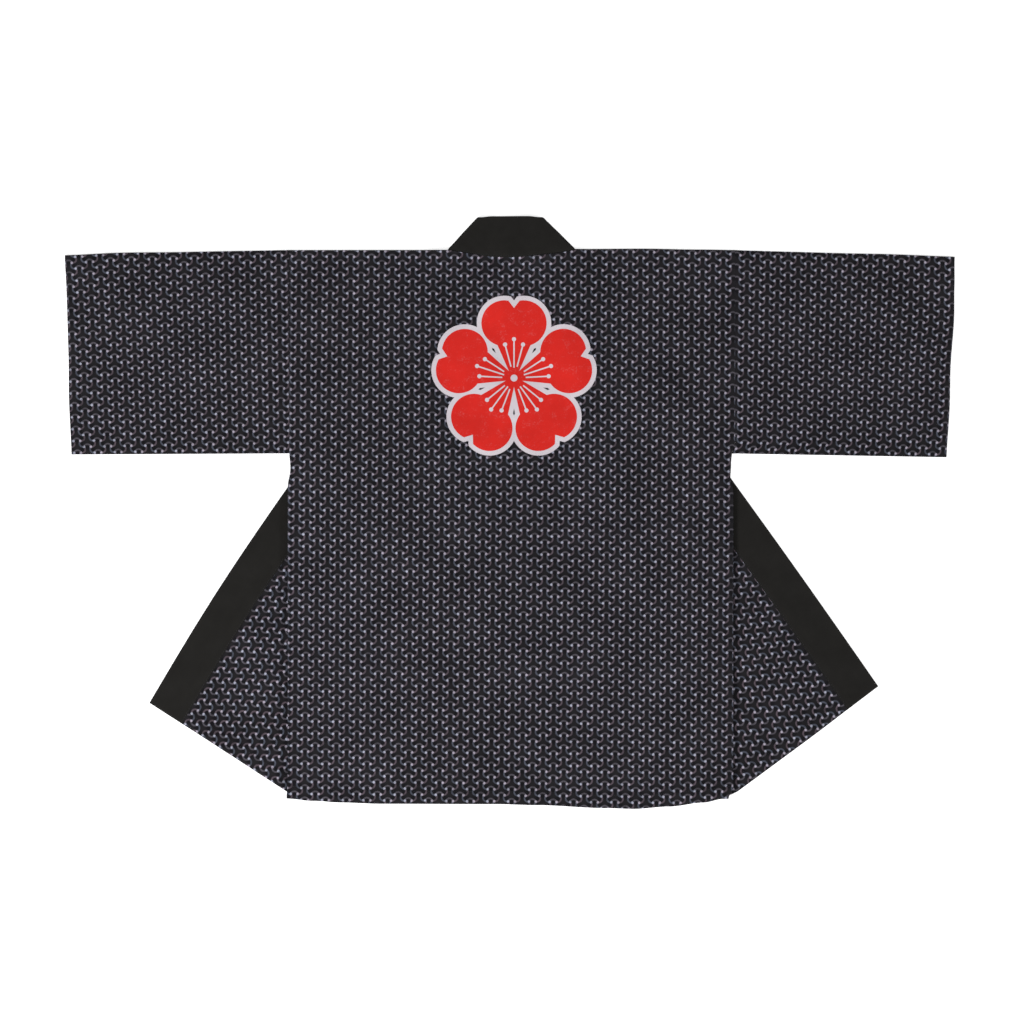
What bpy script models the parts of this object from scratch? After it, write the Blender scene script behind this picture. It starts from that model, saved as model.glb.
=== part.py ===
"""A happi coat laid flat with its back up and both fronts folded out past the side seams.

Metres. +Y runs to the collar, +Z up, and the coat lies on z = 0. Seen from above, the layers at
one side are the back, the front's first layer under it, and the front's turned-out part with the
collar band on its edge, which lies on the floor and shows beyond the side seam.

Each side is worked out in its own plan, where x runs outward from the middle of the coat. The
wearer's left side is mirrored onto -X when its pieces are finished.
"""

import math
from collections import namedtuple

import bmesh
import bpy
from mathutils import Vector

# Walls and gaps
CLOTH = 0.0012
BAND = 0.0024
GAP = 0.0003
LAYER = CLOTH + GAP
LAYER_RADIUS = LAYER / 2

# Body, from the hem's corners up to the shoulder fold
HEM_Y = -0.4120
SHOULDER_TOP_Y = 0.3773
SHOULDER_Y = SHOULDER_TOP_Y - LAYER_RADIUS - CLOTH / 2

# Collar band, and its stretch along the back of the neck
BAND_WIDTH = 0.0562
COLLAR_TOP_Y = 0.4248
COLLAR_TOP_RISE = 0.0014
NECK_SCOOP = 0.0090
NECK_EASE = 0.0400

# The cloth's rise over what lies under it: where it starts, and how far it takes
LEAD = 0.0030
OUTER_RAMP = 0.0210
SEAM_RAMP = 0.0150
MIDDLE_RAMP = 0.0420
OUTER_STEPS = 5
SEAM_STEPS = 4
MIDDLE_STEPS = 7

# A turn of cloth through 180 degrees, as a strip of the net in equal steps
TURN_LENGTH = math.pi * LAYER_RADIUS
TURN_STEPS = 4

# Rows across the body net, and the width over which its side line is drawn in
ROW_PITCH = 0.0800
UNDERARM_ROWS_Y = (0.100, 0.084, 0.072, 0.060, 0.048, 0.036)
SIDE_EASE = 0.0600
NECK_COLUMNS = 6
BOW_FADE = 0.1200

# Sleeve net
SLEEVE_COLUMNS = 6
SLEEVE_ROWS = 6

Side = namedtuple(
    "Side",
    "name sign seam_x neck_x collar_top_x foot_x fold_tilt front_width edge_tilt bow bow_span",
)
SIDES = (
    Side("left", -1, 0.3190, 0.0857, 0.0425, 0.3041, 16.5, 0.2547, 0.33, 0.0046, 0.370),
    Side("right", 1, 0.3218, 0.0929, 0.0482, 0.3099, 18.2, 0.2736, 1.10, 0.0022, 0.354),
)

# The body's side line, from the hem up to the shoulder
SidePoint = namedtuple("SidePoint", "place y left right")
SIDE_LINE = (
    SidePoint("hem corner", HEM_Y, 0.3190, 0.3218),
    SidePoint("below the underarm", 0.0360, 0.3190, 0.3218),
    SidePoint("underarm", 0.0620, 0.3155, 0.3168),
    SidePoint("armhole's foot", 0.0840, 0.3170, 0.3250),
    SidePoint("shoulder", 0.3760, 0.3170, 0.3250),
)

# How far the back's hem hangs below the line between its corners
HemPoint = namedtuple("HemPoint", "x drop")
HEM_LINE = (
    HemPoint(-0.3190, 0.0000),
    HemPoint(-0.2840, 0.0032),
    HemPoint(-0.2440, 0.0060),
    HemPoint(-0.1840, 0.0075),
    HemPoint(-0.0220, 0.0078),
    HemPoint(0.0400, 0.0092),
    HemPoint(0.1390, 0.0134),
    HemPoint(0.1790, 0.0144),
    HemPoint(0.2300, 0.0104),
    HemPoint(0.2800, 0.0043),
    HemPoint(0.3150, 0.0000),
)
HEM_EASE = 0.1200

# Each sleeve's corners, from the armhole out to the cuff
Sleeve = namedtuple("Sleeve", "root_top_y root_foot_y cuff_top_x cuff_top_y cuff_foot_x cuff_foot_y")
SLEEVES = {
    "left": Sleeve(0.3773, 0.0850, 0.6408, 0.3700, 0.6310, 0.0842),
    "right": Sleeve(0.3773, 0.0842, 0.6408, 0.3672, 0.6288, 0.0792),
}

Finish = namedtuple("Finish", "name color roughness")
PRINTED_COTTON = Finish("printed_cotton", (0.042, 0.041, 0.048), 0.85)
BLACK_COTTON = Finish("black_cotton", (0.014, 0.013, 0.012), 0.80)

Line = namedtuple("Line", "point normal")


def smooth(value):
    """Eases from 0 to 1 as value does, with level ends."""
    value = min(max(value, 0.0), 1.0)
    return value * value * (3.0 - 2.0 * value)


def between(table, key, column, at):
    """A column of a table at a value of its key, eased from row to row."""
    if at <= getattr(table[0], key):
        return getattr(table[0], column)
    for low, high in zip(table, table[1:]):
        if at <= getattr(high, key):
            share = (at - getattr(low, key)) / (getattr(high, key) - getattr(low, key))
            start = getattr(low, column)
            return start + (getattr(high, column) - start) * smooth(share)
    return getattr(table[-1], column)


def fold_normal(side):
    """Points from the fold line toward the middle of the coat, in the side's plan."""
    tilt = math.radians(side.fold_tilt)
    return Vector((-math.cos(tilt), -math.sin(tilt)))


def edge_normal(side):
    """Points off the front's free edge while the front lies unturned."""
    tilt = math.radians(side.edge_tilt)
    return Vector((-math.cos(tilt), -math.sin(tilt)))


def fold_distance(side, point):
    """How far a point lies inside the fold line, toward the middle of the coat."""
    return (point - Vector((side.foot_x, HEM_Y))).dot(fold_normal(side))


def unturned_edge_distance(side, point):
    """How far a point of the unturned front lies past its free edge."""
    corner = Vector((side.foot_x - side.front_width - TURN_LENGTH, HEM_Y))
    return (point - corner).dot(edge_normal(side))


def turned(side, point):
    """Where a point of the unturned front goes when the front is turned out over the fold line."""
    return point - fold_normal(side) * (2.0 * fold_distance(side, point) - TURN_LENGTH)


def edge_distance(side, point):
    """How far a point of the laid-out coat lies past the turned front's free edge."""
    back = point + fold_normal(side) * (TURN_LENGTH - 2.0 * fold_distance(side, point))
    return unturned_edge_distance(side, back)


def edge_line(side, distance):
    """The line at a distance past the turned front's free edge, in the side's plan."""
    origin = Vector((0.0, 0.0))
    at_origin = edge_distance(side, origin)
    gradient = Vector(
        (
            edge_distance(side, Vector((1.0, 0.0))) - at_origin,
            edge_distance(side, Vector((0.0, 1.0))) - at_origin,
        )
    )
    return Line(gradient * (distance - at_origin), gradient)


def fold_line(side, distance):
    """The line at a distance inside the fold line, in the side's plan."""
    normal = fold_normal(side)
    return Line(Vector((side.foot_x, HEM_Y)) + normal * distance, normal)


def under_front(side, point):
    """The height of what the front's first layer lies on: the turned part and its band."""
    past_edge = edge_distance(side, point)
    if past_edge > 0.0:
        return (BAND + GAP) * (1.0 - smooth((past_edge - LEAD) / OUTER_RAMP))
    past_band = -past_edge - BAND_WIDTH
    if past_band > 0.0:
        return LAYER + (BAND - CLOTH) * (1.0 - smooth((past_band - LEAD) / SEAM_RAMP))
    return BAND + GAP


def in_plan(side, point):
    """A point of the coat in a side's own plan."""
    return Vector((side.sign * point.x, point.y))


def beside_fold(side, point):
    """1 over the turned front, falling to 0 across the middle of the coat."""
    return 1.0 - smooth((fold_distance(side, point) - LEAD) / MIDDLE_RAMP)


def under_back(point):
    """The height of what the back lies on."""
    height = 0.0
    for side in SIDES:
        plan = in_plan(side, point)
        height += (under_front(side, plan) + LAYER) * beside_fold(side, plan)
    return height


def under_collar(point):
    """The height of what the collar's stretch behind the neck lies on."""
    return sum((BAND + GAP) * beside_fold(side, in_plan(side, point)) for side in SIDES)


def ramp_stations(start, length, steps):
    """Even stations over a ramp, its two ends included."""
    return [start + length * step / steps for step in range(steps + 1)]


def layer_lines(side):
    """The lines along the turned front's edge and seam where the layers above it change slope."""
    distances = [0.0, -BAND_WIDTH]
    distances += ramp_stations(LEAD, OUTER_RAMP, OUTER_STEPS)
    distances += [-BAND_WIDTH - inner for inner in ramp_stations(LEAD, SEAM_RAMP, SEAM_STEPS)]
    return [edge_line(side, distance) for distance in distances]


def body_rows():
    """The rows shared by the nets of the back and both fronts."""
    rows = list(UNDERARM_ROWS_Y)
    count = int((SHOULDER_Y - HEM_Y) / ROW_PITCH)
    rows += [HEM_Y + ROW_PITCH * (row + 1) for row in range(count)]
    return [Line(Vector((0.0, y)), Vector((0.0, 1.0))) for y in rows]


def rectangle(low_x, high_x, low_y, high_y):
    """A flat net of one face over a rectangle."""
    net = bmesh.new()
    bmesh.ops.create_grid(net, x_segments=1, y_segments=1, size=0.5)
    for vert in net.verts:
        vert.co.x = low_x + (high_x - low_x) * (vert.co.x + 0.5)
        vert.co.y = low_y + (high_y - low_y) * (vert.co.y + 0.5)
    return net


def cut(net, lines, faces=None, trim=False):
    """Cuts a net, or some of its faces, along lines. trim drops what lies on the normal's side."""
    for line in lines:
        chosen = net.faces[:] if faces is None else [face for face in net.faces if faces(face)]
        edges = {edge for face in chosen for edge in face.edges}
        verts = {vert for face in chosen for vert in face.verts}
        bmesh.ops.bisect_plane(
            net,
            geom=[*verts, *edges, *chosen],
            dist=1e-7,
            plane_co=(line.point.x, line.point.y, 0.0),
            plane_no=(line.normal.x, line.normal.y, 0.0),
            clear_outer=trim,
        )


def cut_side(net, side, lines):
    """Cuts one half of a net of the whole coat along lines of that side's plan."""
    cut(net, [Line(Vector((0.0, 0.0)), Vector((1.0, 0.0)))])
    placed = [
        Line(
            Vector((side.sign * line.point.x, line.point.y)),
            Vector((side.sign * line.normal.x, line.normal.y)),
        )
        for line in lines
    ]
    cut(net, placed, faces=lambda face: face.calc_center_median().x * side.sign > 0.0)


def drop_faces(net, unwanted):
    """Deletes the faces whose middle the function unwanted accepts."""
    faces = [face for face in net.faces if unwanted(face.calc_center_median().to_2d())]
    bmesh.ops.delete(net, geom=faces, context="FACES")


def drawn_to_side(side, x, y):
    """An x of the body's net moved so that the net's edge follows the side line."""
    near_edge = smooth((x - side.seam_x + SIDE_EASE) / SIDE_EASE)
    return x + (between(SIDE_LINE, "y", side.name, y) - side.seam_x) * near_edge


def neck_scoop(x):
    """How far the neckline dips below the shoulder fold, 0 at both neck points."""
    left, right = (side.sign * side.neck_x for side in SIDES)
    share = (2.0 * x - left - right) / (right - left)
    return NECK_SCOOP * max(0.0, 1.0 - share * share)


def finished(name, net, wall, finish, sign=1):
    """Turns a net of middle points into a named cloth wall of the coat."""
    for vert in net.verts:
        vert.co.x *= sign
    bmesh.ops.recalc_face_normals(net, faces=net.faces[:])
    mesh = bpy.data.meshes.new(name)
    net.to_mesh(mesh)
    net.free()
    piece = bpy.data.objects.new(name, mesh)
    bpy.data.collections["happi_coat"].objects.link(piece)
    piece.data.materials.append(bpy.data.materials[finish.name])
    thicken = piece.modifiers.new("wall", "SOLIDIFY")
    thicken.thickness = wall
    thicken.offset = 0.0
    thicken.use_even_offset = True
    return piece


def make_back():
    """The back, one panel from hem to shoulder, laid over both fronts and on the floor between."""
    left, right = SIDES
    net = rectangle(-left.seam_x, right.seam_x, HEM_Y, SHOULDER_Y - GAP)
    cut(net, body_rows())
    for side in SIDES:
        lines = layer_lines(side)
        lines.append(fold_line(side, 0.0))
        lines += [
            fold_line(side, distance)
            for distance in ramp_stations(LEAD, MIDDLE_RAMP, MIDDLE_STEPS)
        ]
        cut_side(net, side, lines)
    hem_columns = [Line(Vector((point.x, 0.0)), Vector((1.0, 0.0))) for point in HEM_LINE[1:-1]]
    cut(net, hem_columns, faces=lambda face: face.calc_center_median().y < HEM_Y + ROW_PITCH)
    width = left.neck_x + right.neck_x
    columns = [
        Line(Vector((-left.neck_x + width * column / NECK_COLUMNS, 0.0)), Vector((1.0, 0.0)))
        for column in range(NECK_COLUMNS + 1)
    ]
    cut(net, columns)
    for vert in net.verts:
        x, y = vert.co.xy
        vert.co.z = under_back(vert.co) + CLOTH / 2
        side = left if x < 0.0 else right
        vert.co.x = side.sign * drawn_to_side(side, side.sign * x, y)
        near_hem = 1.0 - smooth((y - HEM_Y) / HEM_EASE)
        near_neck = smooth((y - SHOULDER_Y + GAP + NECK_EASE) / NECK_EASE)
        vert.co.y -= between(HEM_LINE, "x", "drop", x) * near_hem + neck_scoop(x) * near_neck
    return finished("back", net, CLOTH, PRINTED_COTTON)


def bowed(side, point):
    """A point of the unturned front, moved as the turned part's free edge bows out."""
    along = min(max((point.y - HEM_Y) / side.bow_span, 0.0), 1.0)
    near_edge = smooth(fold_distance(side, point) / BOW_FADE)
    return point + edge_normal(side) * (side.bow * math.sin(math.pi * along) * near_edge)


def folded(side, point):
    """A point of the unturned front's net, as (x, y, z) once the front is folded out."""
    inside = fold_distance(side, point)
    if inside >= TURN_LENGTH:
        place = turned(side, bowed(side, point))
        return place.x, place.y, CLOTH / 2
    crest = point - fold_normal(side) * max(inside, 0.0)
    high = under_front(side, crest) + CLOTH / 2
    if inside <= 0.0:
        return point.x, point.y, high
    radius = (high - CLOTH / 2) / 2
    angle = math.pi * inside / TURN_LENGTH
    place = crest + fold_normal(side) * (radius * math.sin(angle))
    return place.x, place.y, high - radius + radius * math.cos(angle)


def over_shoulder(side, point):
    """A point past the shoulder fold, as (x, y, z) on the turn that takes the cloth up to the back."""
    angle = math.pi * (point.y - SHOULDER_Y) / TURN_LENGTH
    base = under_front(side, Vector((point.x, SHOULDER_Y))) + CLOTH / 2
    lift = LAYER_RADIUS * (1.0 - math.cos(angle))
    return point.x, SHOULDER_Y + LAYER_RADIUS * math.sin(angle), base + lift


def off_front(side, point):
    """Whether a point of the unturned front's plan is past its band seam, or past the neck point."""
    if fold_distance(side, point) > 0.0:
        return unturned_edge_distance(side, point) > -BAND_WIDTH
    return point.x < side.neck_x


def make_front(side):
    """A front: its first layer, the turn along the fold line and the part turned out on the floor."""
    net = rectangle(0.0, side.seam_x, HEM_Y, SHOULDER_Y + TURN_LENGTH)
    turn = ramp_stations(0.0, TURN_LENGTH, TURN_STEPS)
    cut(net, [fold_line(side, distance) for distance in turn])
    seam = side.foot_x - side.front_width - TURN_LENGTH
    seam_point = Vector((seam, HEM_Y)) - edge_normal(side) * BAND_WIDTH
    neck_line = Line(Vector((side.neck_x, 0.0)), Vector((1.0, 0.0)))
    cut(net, [Line(seam_point, edge_normal(side)), neck_line])
    drop_faces(net, lambda middle: off_front(side, middle))
    cut(net, body_rows())
    cut(net, [Line(Vector((0.0, SHOULDER_Y + step)), Vector((0.0, 1.0))) for step in turn])
    cut(
        net,
        layer_lines(side),
        faces=lambda face: fold_distance(side, face.calc_center_median().to_2d()) < 0.0,
    )
    for vert in net.verts:
        point = vert.co.to_2d()
        if point.y > SHOULDER_Y:
            vert.co = over_shoulder(side, point)
        else:
            vert.co = folded(side, point)
        if fold_distance(side, point) <= 0.0:
            vert.co.x = drawn_to_side(side, vert.co.x, point.y)
    return finished(f"front_{side.name}", net, CLOTH, PRINTED_COTTON, side.sign)


def make_sleeve(side):
    """A sleeve: a flat tube, folded along its top and sewn along its foot, open at both ends."""
    corners = SLEEVES[side.name]
    root_x = between(SIDE_LINE, "y", side.name, SHOULDER_Y) + GAP
    flat = float(SLEEVE_ROWS)
    turn = float(TURN_STEPS)
    round_length = 2.0 * (flat + turn)
    net = rectangle(0.0, 1.0, 0.0, round_length)
    steps = int(round_length)
    cut(net, [Line(Vector((0.0, step)), Vector((0.0, 1.0))) for step in range(1, steps)])
    columns = range(1, SLEEVE_COLUMNS)
    cut(net, [Line(Vector((c / SLEEVE_COLUMNS, 0.0)), Vector((1.0, 0.0))) for c in columns])
    inset = LAYER_RADIUS + CLOTH / 2
    for vert in net.verts:
        out, way = vert.co.xy
        foot_y = corners.root_foot_y + (corners.cuff_foot_y - corners.root_foot_y) * out + inset
        top_y = corners.root_top_y + (corners.cuff_top_y - corners.root_top_y) * out - inset
        on_top = way > flat + turn
        way_in_half = way - flat - turn if on_top else way
        up = min(way_in_half / flat, 1.0)
        angle = math.pi * max(way_in_half - flat, 0.0) / turn
        if on_top:
            up = 1.0 - up
            angle = -angle
        edge_x = corners.cuff_foot_x + (corners.cuff_top_x - corners.cuff_foot_x) * up
        y = foot_y + (top_y - foot_y) * up + LAYER_RADIUS * math.sin(angle)
        low = CLOTH / 2 + LAYER_RADIUS
        z = low + LAYER_RADIUS * math.cos(angle) if on_top else low - LAYER_RADIUS * math.cos(angle)
        vert.co = (root_x + (edge_x - root_x) * out, y, z)
    bmesh.ops.remove_doubles(net, verts=net.verts[:], dist=1e-6)
    return finished(f"sleeve_{side.name}", net, CLOTH, PRINTED_COTTON, side.sign)


def make_front_band(side):
    """The collar band along a front, from the hem up under the neck point."""
    outer = side.foot_x - side.front_width - TURN_LENGTH
    net = rectangle(outer - BAND_WIDTH, side.seam_x, HEM_Y, SHOULDER_TOP_Y + BAND_WIDTH)
    normal = edge_normal(side)
    corner = Vector((outer, HEM_Y))
    cut(net, [Line(corner, normal)], trim=True)
    cut(net, [Line(corner - normal * (BAND_WIDTH - GAP), -normal)], trim=True)
    low = fold_line(side, TURN_LENGTH + GAP)
    cut(net, [Line(low.point, -low.normal)], trim=True)
    cut(net, body_rows())
    for vert in net.verts:
        vert.co = (*turned(side, bowed(side, vert.co.to_2d())), BAND / 2)
    neck = Vector((side.neck_x, SHOULDER_Y))
    slope = Vector((side.collar_top_x, COLLAR_TOP_Y)) - neck
    cut(net, [Line(neck, Vector((slope.y, -slope.x)))], trim=True)
    cut(net, [Line(Vector((0.0, COLLAR_TOP_Y - GAP)), Vector((0.0, 1.0)))], trim=True)
    return finished(f"collar_{side.name}", net, BAND, BLACK_COTTON, side.sign)


def make_neck_band():
    """The collar band along the back of the neck, standing up flat past the shoulders."""
    left, right = SIDES
    net = rectangle(-left.neck_x, right.neck_x, SHOULDER_Y, COLLAR_TOP_Y)
    for side in SIDES:
        neck = Vector((side.neck_x - GAP, SHOULDER_Y))
        slope = Vector((side.collar_top_x, COLLAR_TOP_Y)) - neck
        normal = Vector((side.sign * slope.y, -slope.x))
        cut(net, [Line(Vector((side.sign * neck.x, neck.y)), normal)], trim=True)
        stations = ramp_stations(LEAD, MIDDLE_RAMP, MIDDLE_STEPS)
        cut_side(net, side, [fold_line(side, distance) for distance in stations])
    height = COLLAR_TOP_Y - SHOULDER_Y
    for vert in net.verts:
        vert.co.z = under_collar(vert.co) + BAND / 2
        x, y = vert.co.xy
        up = (y - SHOULDER_Y) / height
        scoop = neck_scoop(x)
        vert.co.y += COLLAR_TOP_RISE * scoop / NECK_SCOOP * up - scoop * (1.0 - up)
    return finished("collar_neck", net, BAND, BLACK_COTTON)


def make_material(finish):
    """A plain Principled material."""
    material = bpy.data.materials.new(finish.name)
    material.use_nodes = True
    shader = material.node_tree.nodes["Principled BSDF"]
    shader.inputs["Base Color"].default_value = (*finish.color, 1.0)
    shader.inputs["Roughness"].default_value = finish.roughness
    shader.inputs["Metallic"].default_value = 0.0


def clear_scene():
    """Removes the objects that the scene starts with."""
    for thing in list(bpy.data.objects):
        bpy.data.objects.remove(thing, do_unlink=True)


def main():
    """Builds the coat."""
    clear_scene()
    coat = bpy.data.collections.new("happi_coat")
    bpy.context.scene.collection.children.link(coat)
    for finish in (PRINTED_COTTON, BLACK_COTTON):
        make_material(finish)
    make_back()
    for side in SIDES:
        make_front(side)
        make_sleeve(side)
        make_front_band(side)
    make_neck_band()


main()
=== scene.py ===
"""The look of a happi coat laid flat with its back up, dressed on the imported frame.

Metres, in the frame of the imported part: +Y runs to the collar, +Z up, and the coat lies on z = 0.
Every cloth is a net of its outer face in the cloth's own plan, laid out by formulas that follow
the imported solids, given a wall toward its inside, and printed through a map in cloth metres.
"""

import logging
import math
from dataclasses import dataclass, field
from enum import Enum
from functools import cached_property, partialmethod
from typing import Callable, NamedTuple, Sequence

import bmesh
import bpy
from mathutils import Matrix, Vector

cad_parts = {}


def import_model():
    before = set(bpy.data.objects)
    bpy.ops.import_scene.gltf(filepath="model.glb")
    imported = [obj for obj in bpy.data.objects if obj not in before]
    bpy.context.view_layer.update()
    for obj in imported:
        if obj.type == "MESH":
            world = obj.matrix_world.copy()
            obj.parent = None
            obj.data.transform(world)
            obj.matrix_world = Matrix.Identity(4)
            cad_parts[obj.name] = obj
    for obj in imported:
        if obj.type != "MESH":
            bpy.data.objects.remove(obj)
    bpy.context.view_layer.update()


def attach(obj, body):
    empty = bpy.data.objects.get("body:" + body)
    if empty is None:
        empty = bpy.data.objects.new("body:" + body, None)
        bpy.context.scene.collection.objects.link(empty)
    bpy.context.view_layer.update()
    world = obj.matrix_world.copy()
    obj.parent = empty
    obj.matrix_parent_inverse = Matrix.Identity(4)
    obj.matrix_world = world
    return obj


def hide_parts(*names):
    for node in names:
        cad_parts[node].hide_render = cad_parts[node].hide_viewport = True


LOG = logging.getLogger("happi_coat")

Socket = bpy.types.NodeSocket
Material = bpy.types.Material
Color = tuple[float, float, float]
Pair = tuple[float, float]

# Walls and gaps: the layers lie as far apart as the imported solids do
WALL = 0.0009
HEM_WALL = 0.00135
LAYER = 0.0015
BAND = 0.0024
BAND_WALL = 0.0008
GAP = 0.0003

# Body, from the hem's corners up to the shoulder fold
HEM_Y = -0.4120
SHOULDER_Y = 0.37595
TURN_LENGTH = math.pi * LAYER / 2
SHOULDER_TURN = math.pi * (LAYER + WALL) / 2

# Collar band, and its stretch along the back of the neck
BAND_WIDTH = 0.0562
COLLAR_TOP_Y = 0.4248
COLLAR_TOP_RISE = 0.0014
NECK_SCOOP = 0.0090
NECK_EASE = 0.0400
NECK_WRAP = 0.0030

# The cloth's rise over what lies under it
LEAD = 0.0030
OUTER_RAMP = 0.0210
SEAM_RAMP = 0.0150
MIDDLE_RAMP = 0.0420

# Nets, in which an even station gives way to a fixed one closer than CROWDED pitches
PITCH = 0.0050
CROWDED = 0.35
NECK_PITCH = 0.0025
SAME_POINT = 2e-6
TURN_STEPS = 6
SIDE_EASE = 0.0600
BOW_FADE = 0.1200
HEM_EASE = 0.1200
SAG_FADE = 0.0240
TIP_FROM = 0.1400
TIP_EASE = 0.1200
HEM_DEPTH = 0.0200
HEM_STITCH = 0.0180
HEM_STEP = 0.0004
HEM_STATIONS = (0.0006, 0.0016, 0.0030, HEM_DEPTH - HEM_STEP, HEM_DEPTH + HEM_STEP)
HEM_DROP = 0.0003
HEM_ROLL = 0.0016
EDGE_STATIONS = (0.0, 0.0007, 0.0016, 0.0030)
EDGE_DIP = 0.0030
TUCK = 0.0010
TUCK_RISE = 0.0007
TUCK_EASE = 0.0020

# How far from an edge or a seam the cloth is worn, made lighter or puckered
HEM_WEAR = 0.0060
EDGE_WEAR = 0.0050
TOP_LIGHTENING_REACH = 0.0220
END_WEAR = 0.0060
HEM_PUCKER = 0.0300
SEAM_PUCKER = 0.0160
JOIN_PUCKER = 0.0140
BAND_WEAR = 0.0040
BAND_PUCKER = 0.0120

# How much it is worn along the side seams and the neck band's ends, how much lighter it is made
# along the top line, the storage folds and other folds, and how much it is puckered just behind
# and at the shoulder fold
EDGE_FADE = 0.7
TOP_LIGHTENING = 0.45
STORAGE_LIGHTENING = 0.50
FOLD_LIGHTENING = 0.5
END_FADE = 0.6
JOIN_DRAW = 0.8
FOLD_DRAW = 0.3

# How much of the creases' relief reaches a layer: the turned-out front, the front's first
# layer, the fold between them, the middle of a tube's turn, and the foot of a band
TURNED_RELIEF = 0.7
FRONT_RELIEF = 0.85
FOLD_RELIEF = 0.775
FOLD_RELIEF_SWING = 0.075
TUBE_RELIEF = 0.85
TUBE_RELIEF_SWING = 0.15
BAND_FOOT_RELIEF = 0.9

# How far the back's hem dips, and how far the folds along the top rise, from left to right
HEM_LINE = (
    (-0.3190, 0.0003),
    (-0.2840, 0.0040),
    (-0.2440, 0.0066),
    (-0.1840, 0.0085),
    (-0.0220, 0.0089),
    (0.0400, 0.0104),
    (0.1390, 0.0147),
    (0.1790, 0.0158),
    (0.2300, 0.0124),
    (0.2800, 0.0066),
    (0.3150, 0.0008),
)
TOP_LINE = (
    (-0.6400, 0.0000),
    (-0.5600, 0.0018),
    (-0.4700, 0.0008),
    (-0.3000, 0.0003),
    (-0.0900, 0.0003),
    (0.0960, 0.0017),
    (0.1900, 0.0022),
    (0.2700, 0.0010),
    (0.3400, 0.0001),
    (0.4600, 0.0005),
    (0.5500, 0.0013),
    (0.6400, 0.0006),
)
TOP_EASE = 0.1000

# The soft roll along each side seam
SEAM_ROLL = 0.0027
ROLL_REACH = 0.0170
ROLL_TOP_Y = 0.0750
ROLL_EASE = 0.0500

# Creases: how their ends ease out, how wide they reach, how they lean, waver and swell
CREASE_END = 0.04
CREASE_EASE = 0.10
CREASE_REACH = 3.2
CREASE_LEAN = 0.35
WAVER_TURN = 31.0
WAVER_PHASE = 9000.0
SWELL = 0.25
SWELL_TURN = 57.0
SWELL_PHASE = 4000.0
WAVE_HEIGHT = 0.00022


class Slot(Enum):
    """The record's material slots."""

    PRINTED = "printed_cotton"
    BLACK = "black_cotton"


class Held(Enum):
    """How a sheet lies."""

    LAID = "laid"
    FOLDED = "folded"


class Placed(NamedTuple):
    """A point of a cloth's outer face, its wall toward the inside, and its wear and seam shares;
    the wear share also makes folds lighter.
    """

    x: float
    y: float
    z: float
    wall: float = WALL
    wear: float = 0.0
    seam: float = 0.0


class Slant(NamedTuple):
    """A straight line in a side's plan: its foot, its run, and the direction off the piece."""

    foot: Pair
    run: Pair
    normal: Pair


def smooth(value: float) -> float:
    """Eases from 0 to 1 as value does, with level ends."""
    value = min(max(value, 0.0), 1.0)
    return value * value * (3.0 - 2.0 * value)


def near(distance: float, reach: float) -> float:
    """1 at no distance, easing to 0 at the reach."""
    return 1.0 - smooth(distance / reach)


def between(table: Sequence[Pair], at: float) -> float:
    """Reads a table of key and value, eased from row to row.

    Args:
        table: Rows of key and value, by rising key.
        at: The key to read at.

    Returns:
        The value there.
    """
    if at <= table[0][0]:
        return table[0][1]
    for low, high in zip(table, table[1:]):
        if at <= high[0]:
            share = (at - low[0]) / (high[0] - low[0])
            return low[1] + (high[1] - low[1]) * smooth(share)
    return table[-1][1]


def stations(low: float, high: float, pitch: float, extra: Sequence[float] = ()) -> list[float]:
    """Even stations from low to high, with extra ones that push out even ones close to them.

    Args:
        low: The first station.
        high: The last station.
        pitch: About how far apart the even ones are.
        extra: Stations that have to be there.

    Returns:
        The stations, rising.
    """
    count = max(1, round((high - low) / pitch))
    fixed = sorted({low, high, *(at for at in extra if low < at < high)})
    even = [low + (high - low) * step / count for step in range(1, count)]
    kept = [at for at in even if min(abs(at - other) for other in fixed) > CROWDED * pitch]
    return sorted([*fixed, *kept])


@dataclass(frozen=True)
class Crease:
    """A soft uneven ridge that the cloth keeps from being folded and worn."""

    start: Pair
    end: Pair
    width: float
    height: float
    waver: float = 0.004

    def rise(self, x: float, y: float) -> float:
        """The ridge's height at a place.

        Args:
            x: The place's x.
            y: The place's y.

        Returns:
            The height, 0 away from the ridge.
        """
        run_x, run_y = self.end[0] - self.start[0], self.end[1] - self.start[1]
        length = math.hypot(run_x, run_y)
        run_x, run_y = run_x / length, run_y / length
        from_x, from_y = x - self.start[0], y - self.start[1]
        along = from_x * run_x + from_y * run_y
        if not -CREASE_END < along < length + CREASE_END:
            return 0.0
        across = from_y * run_x - from_x * run_y
        across += self.waver * math.sin(along * WAVER_TURN + self.height * WAVER_PHASE)
        if abs(across) > CREASE_REACH * self.width:
            return 0.0
        ends = smooth((along + CREASE_END) / CREASE_EASE)
        ends *= smooth((length + CREASE_END - along) / CREASE_EASE)
        swell = math.sin(along * SWELL_TURN + self.width * SWELL_PHASE)
        uneven = 1.0 - SWELL + SWELL * swell
        side = 1.0 + CREASE_LEAN * math.tanh(across / self.width)
        return self.height * ends * uneven * side * math.exp(-0.5 * (across / self.width) ** 2)


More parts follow.
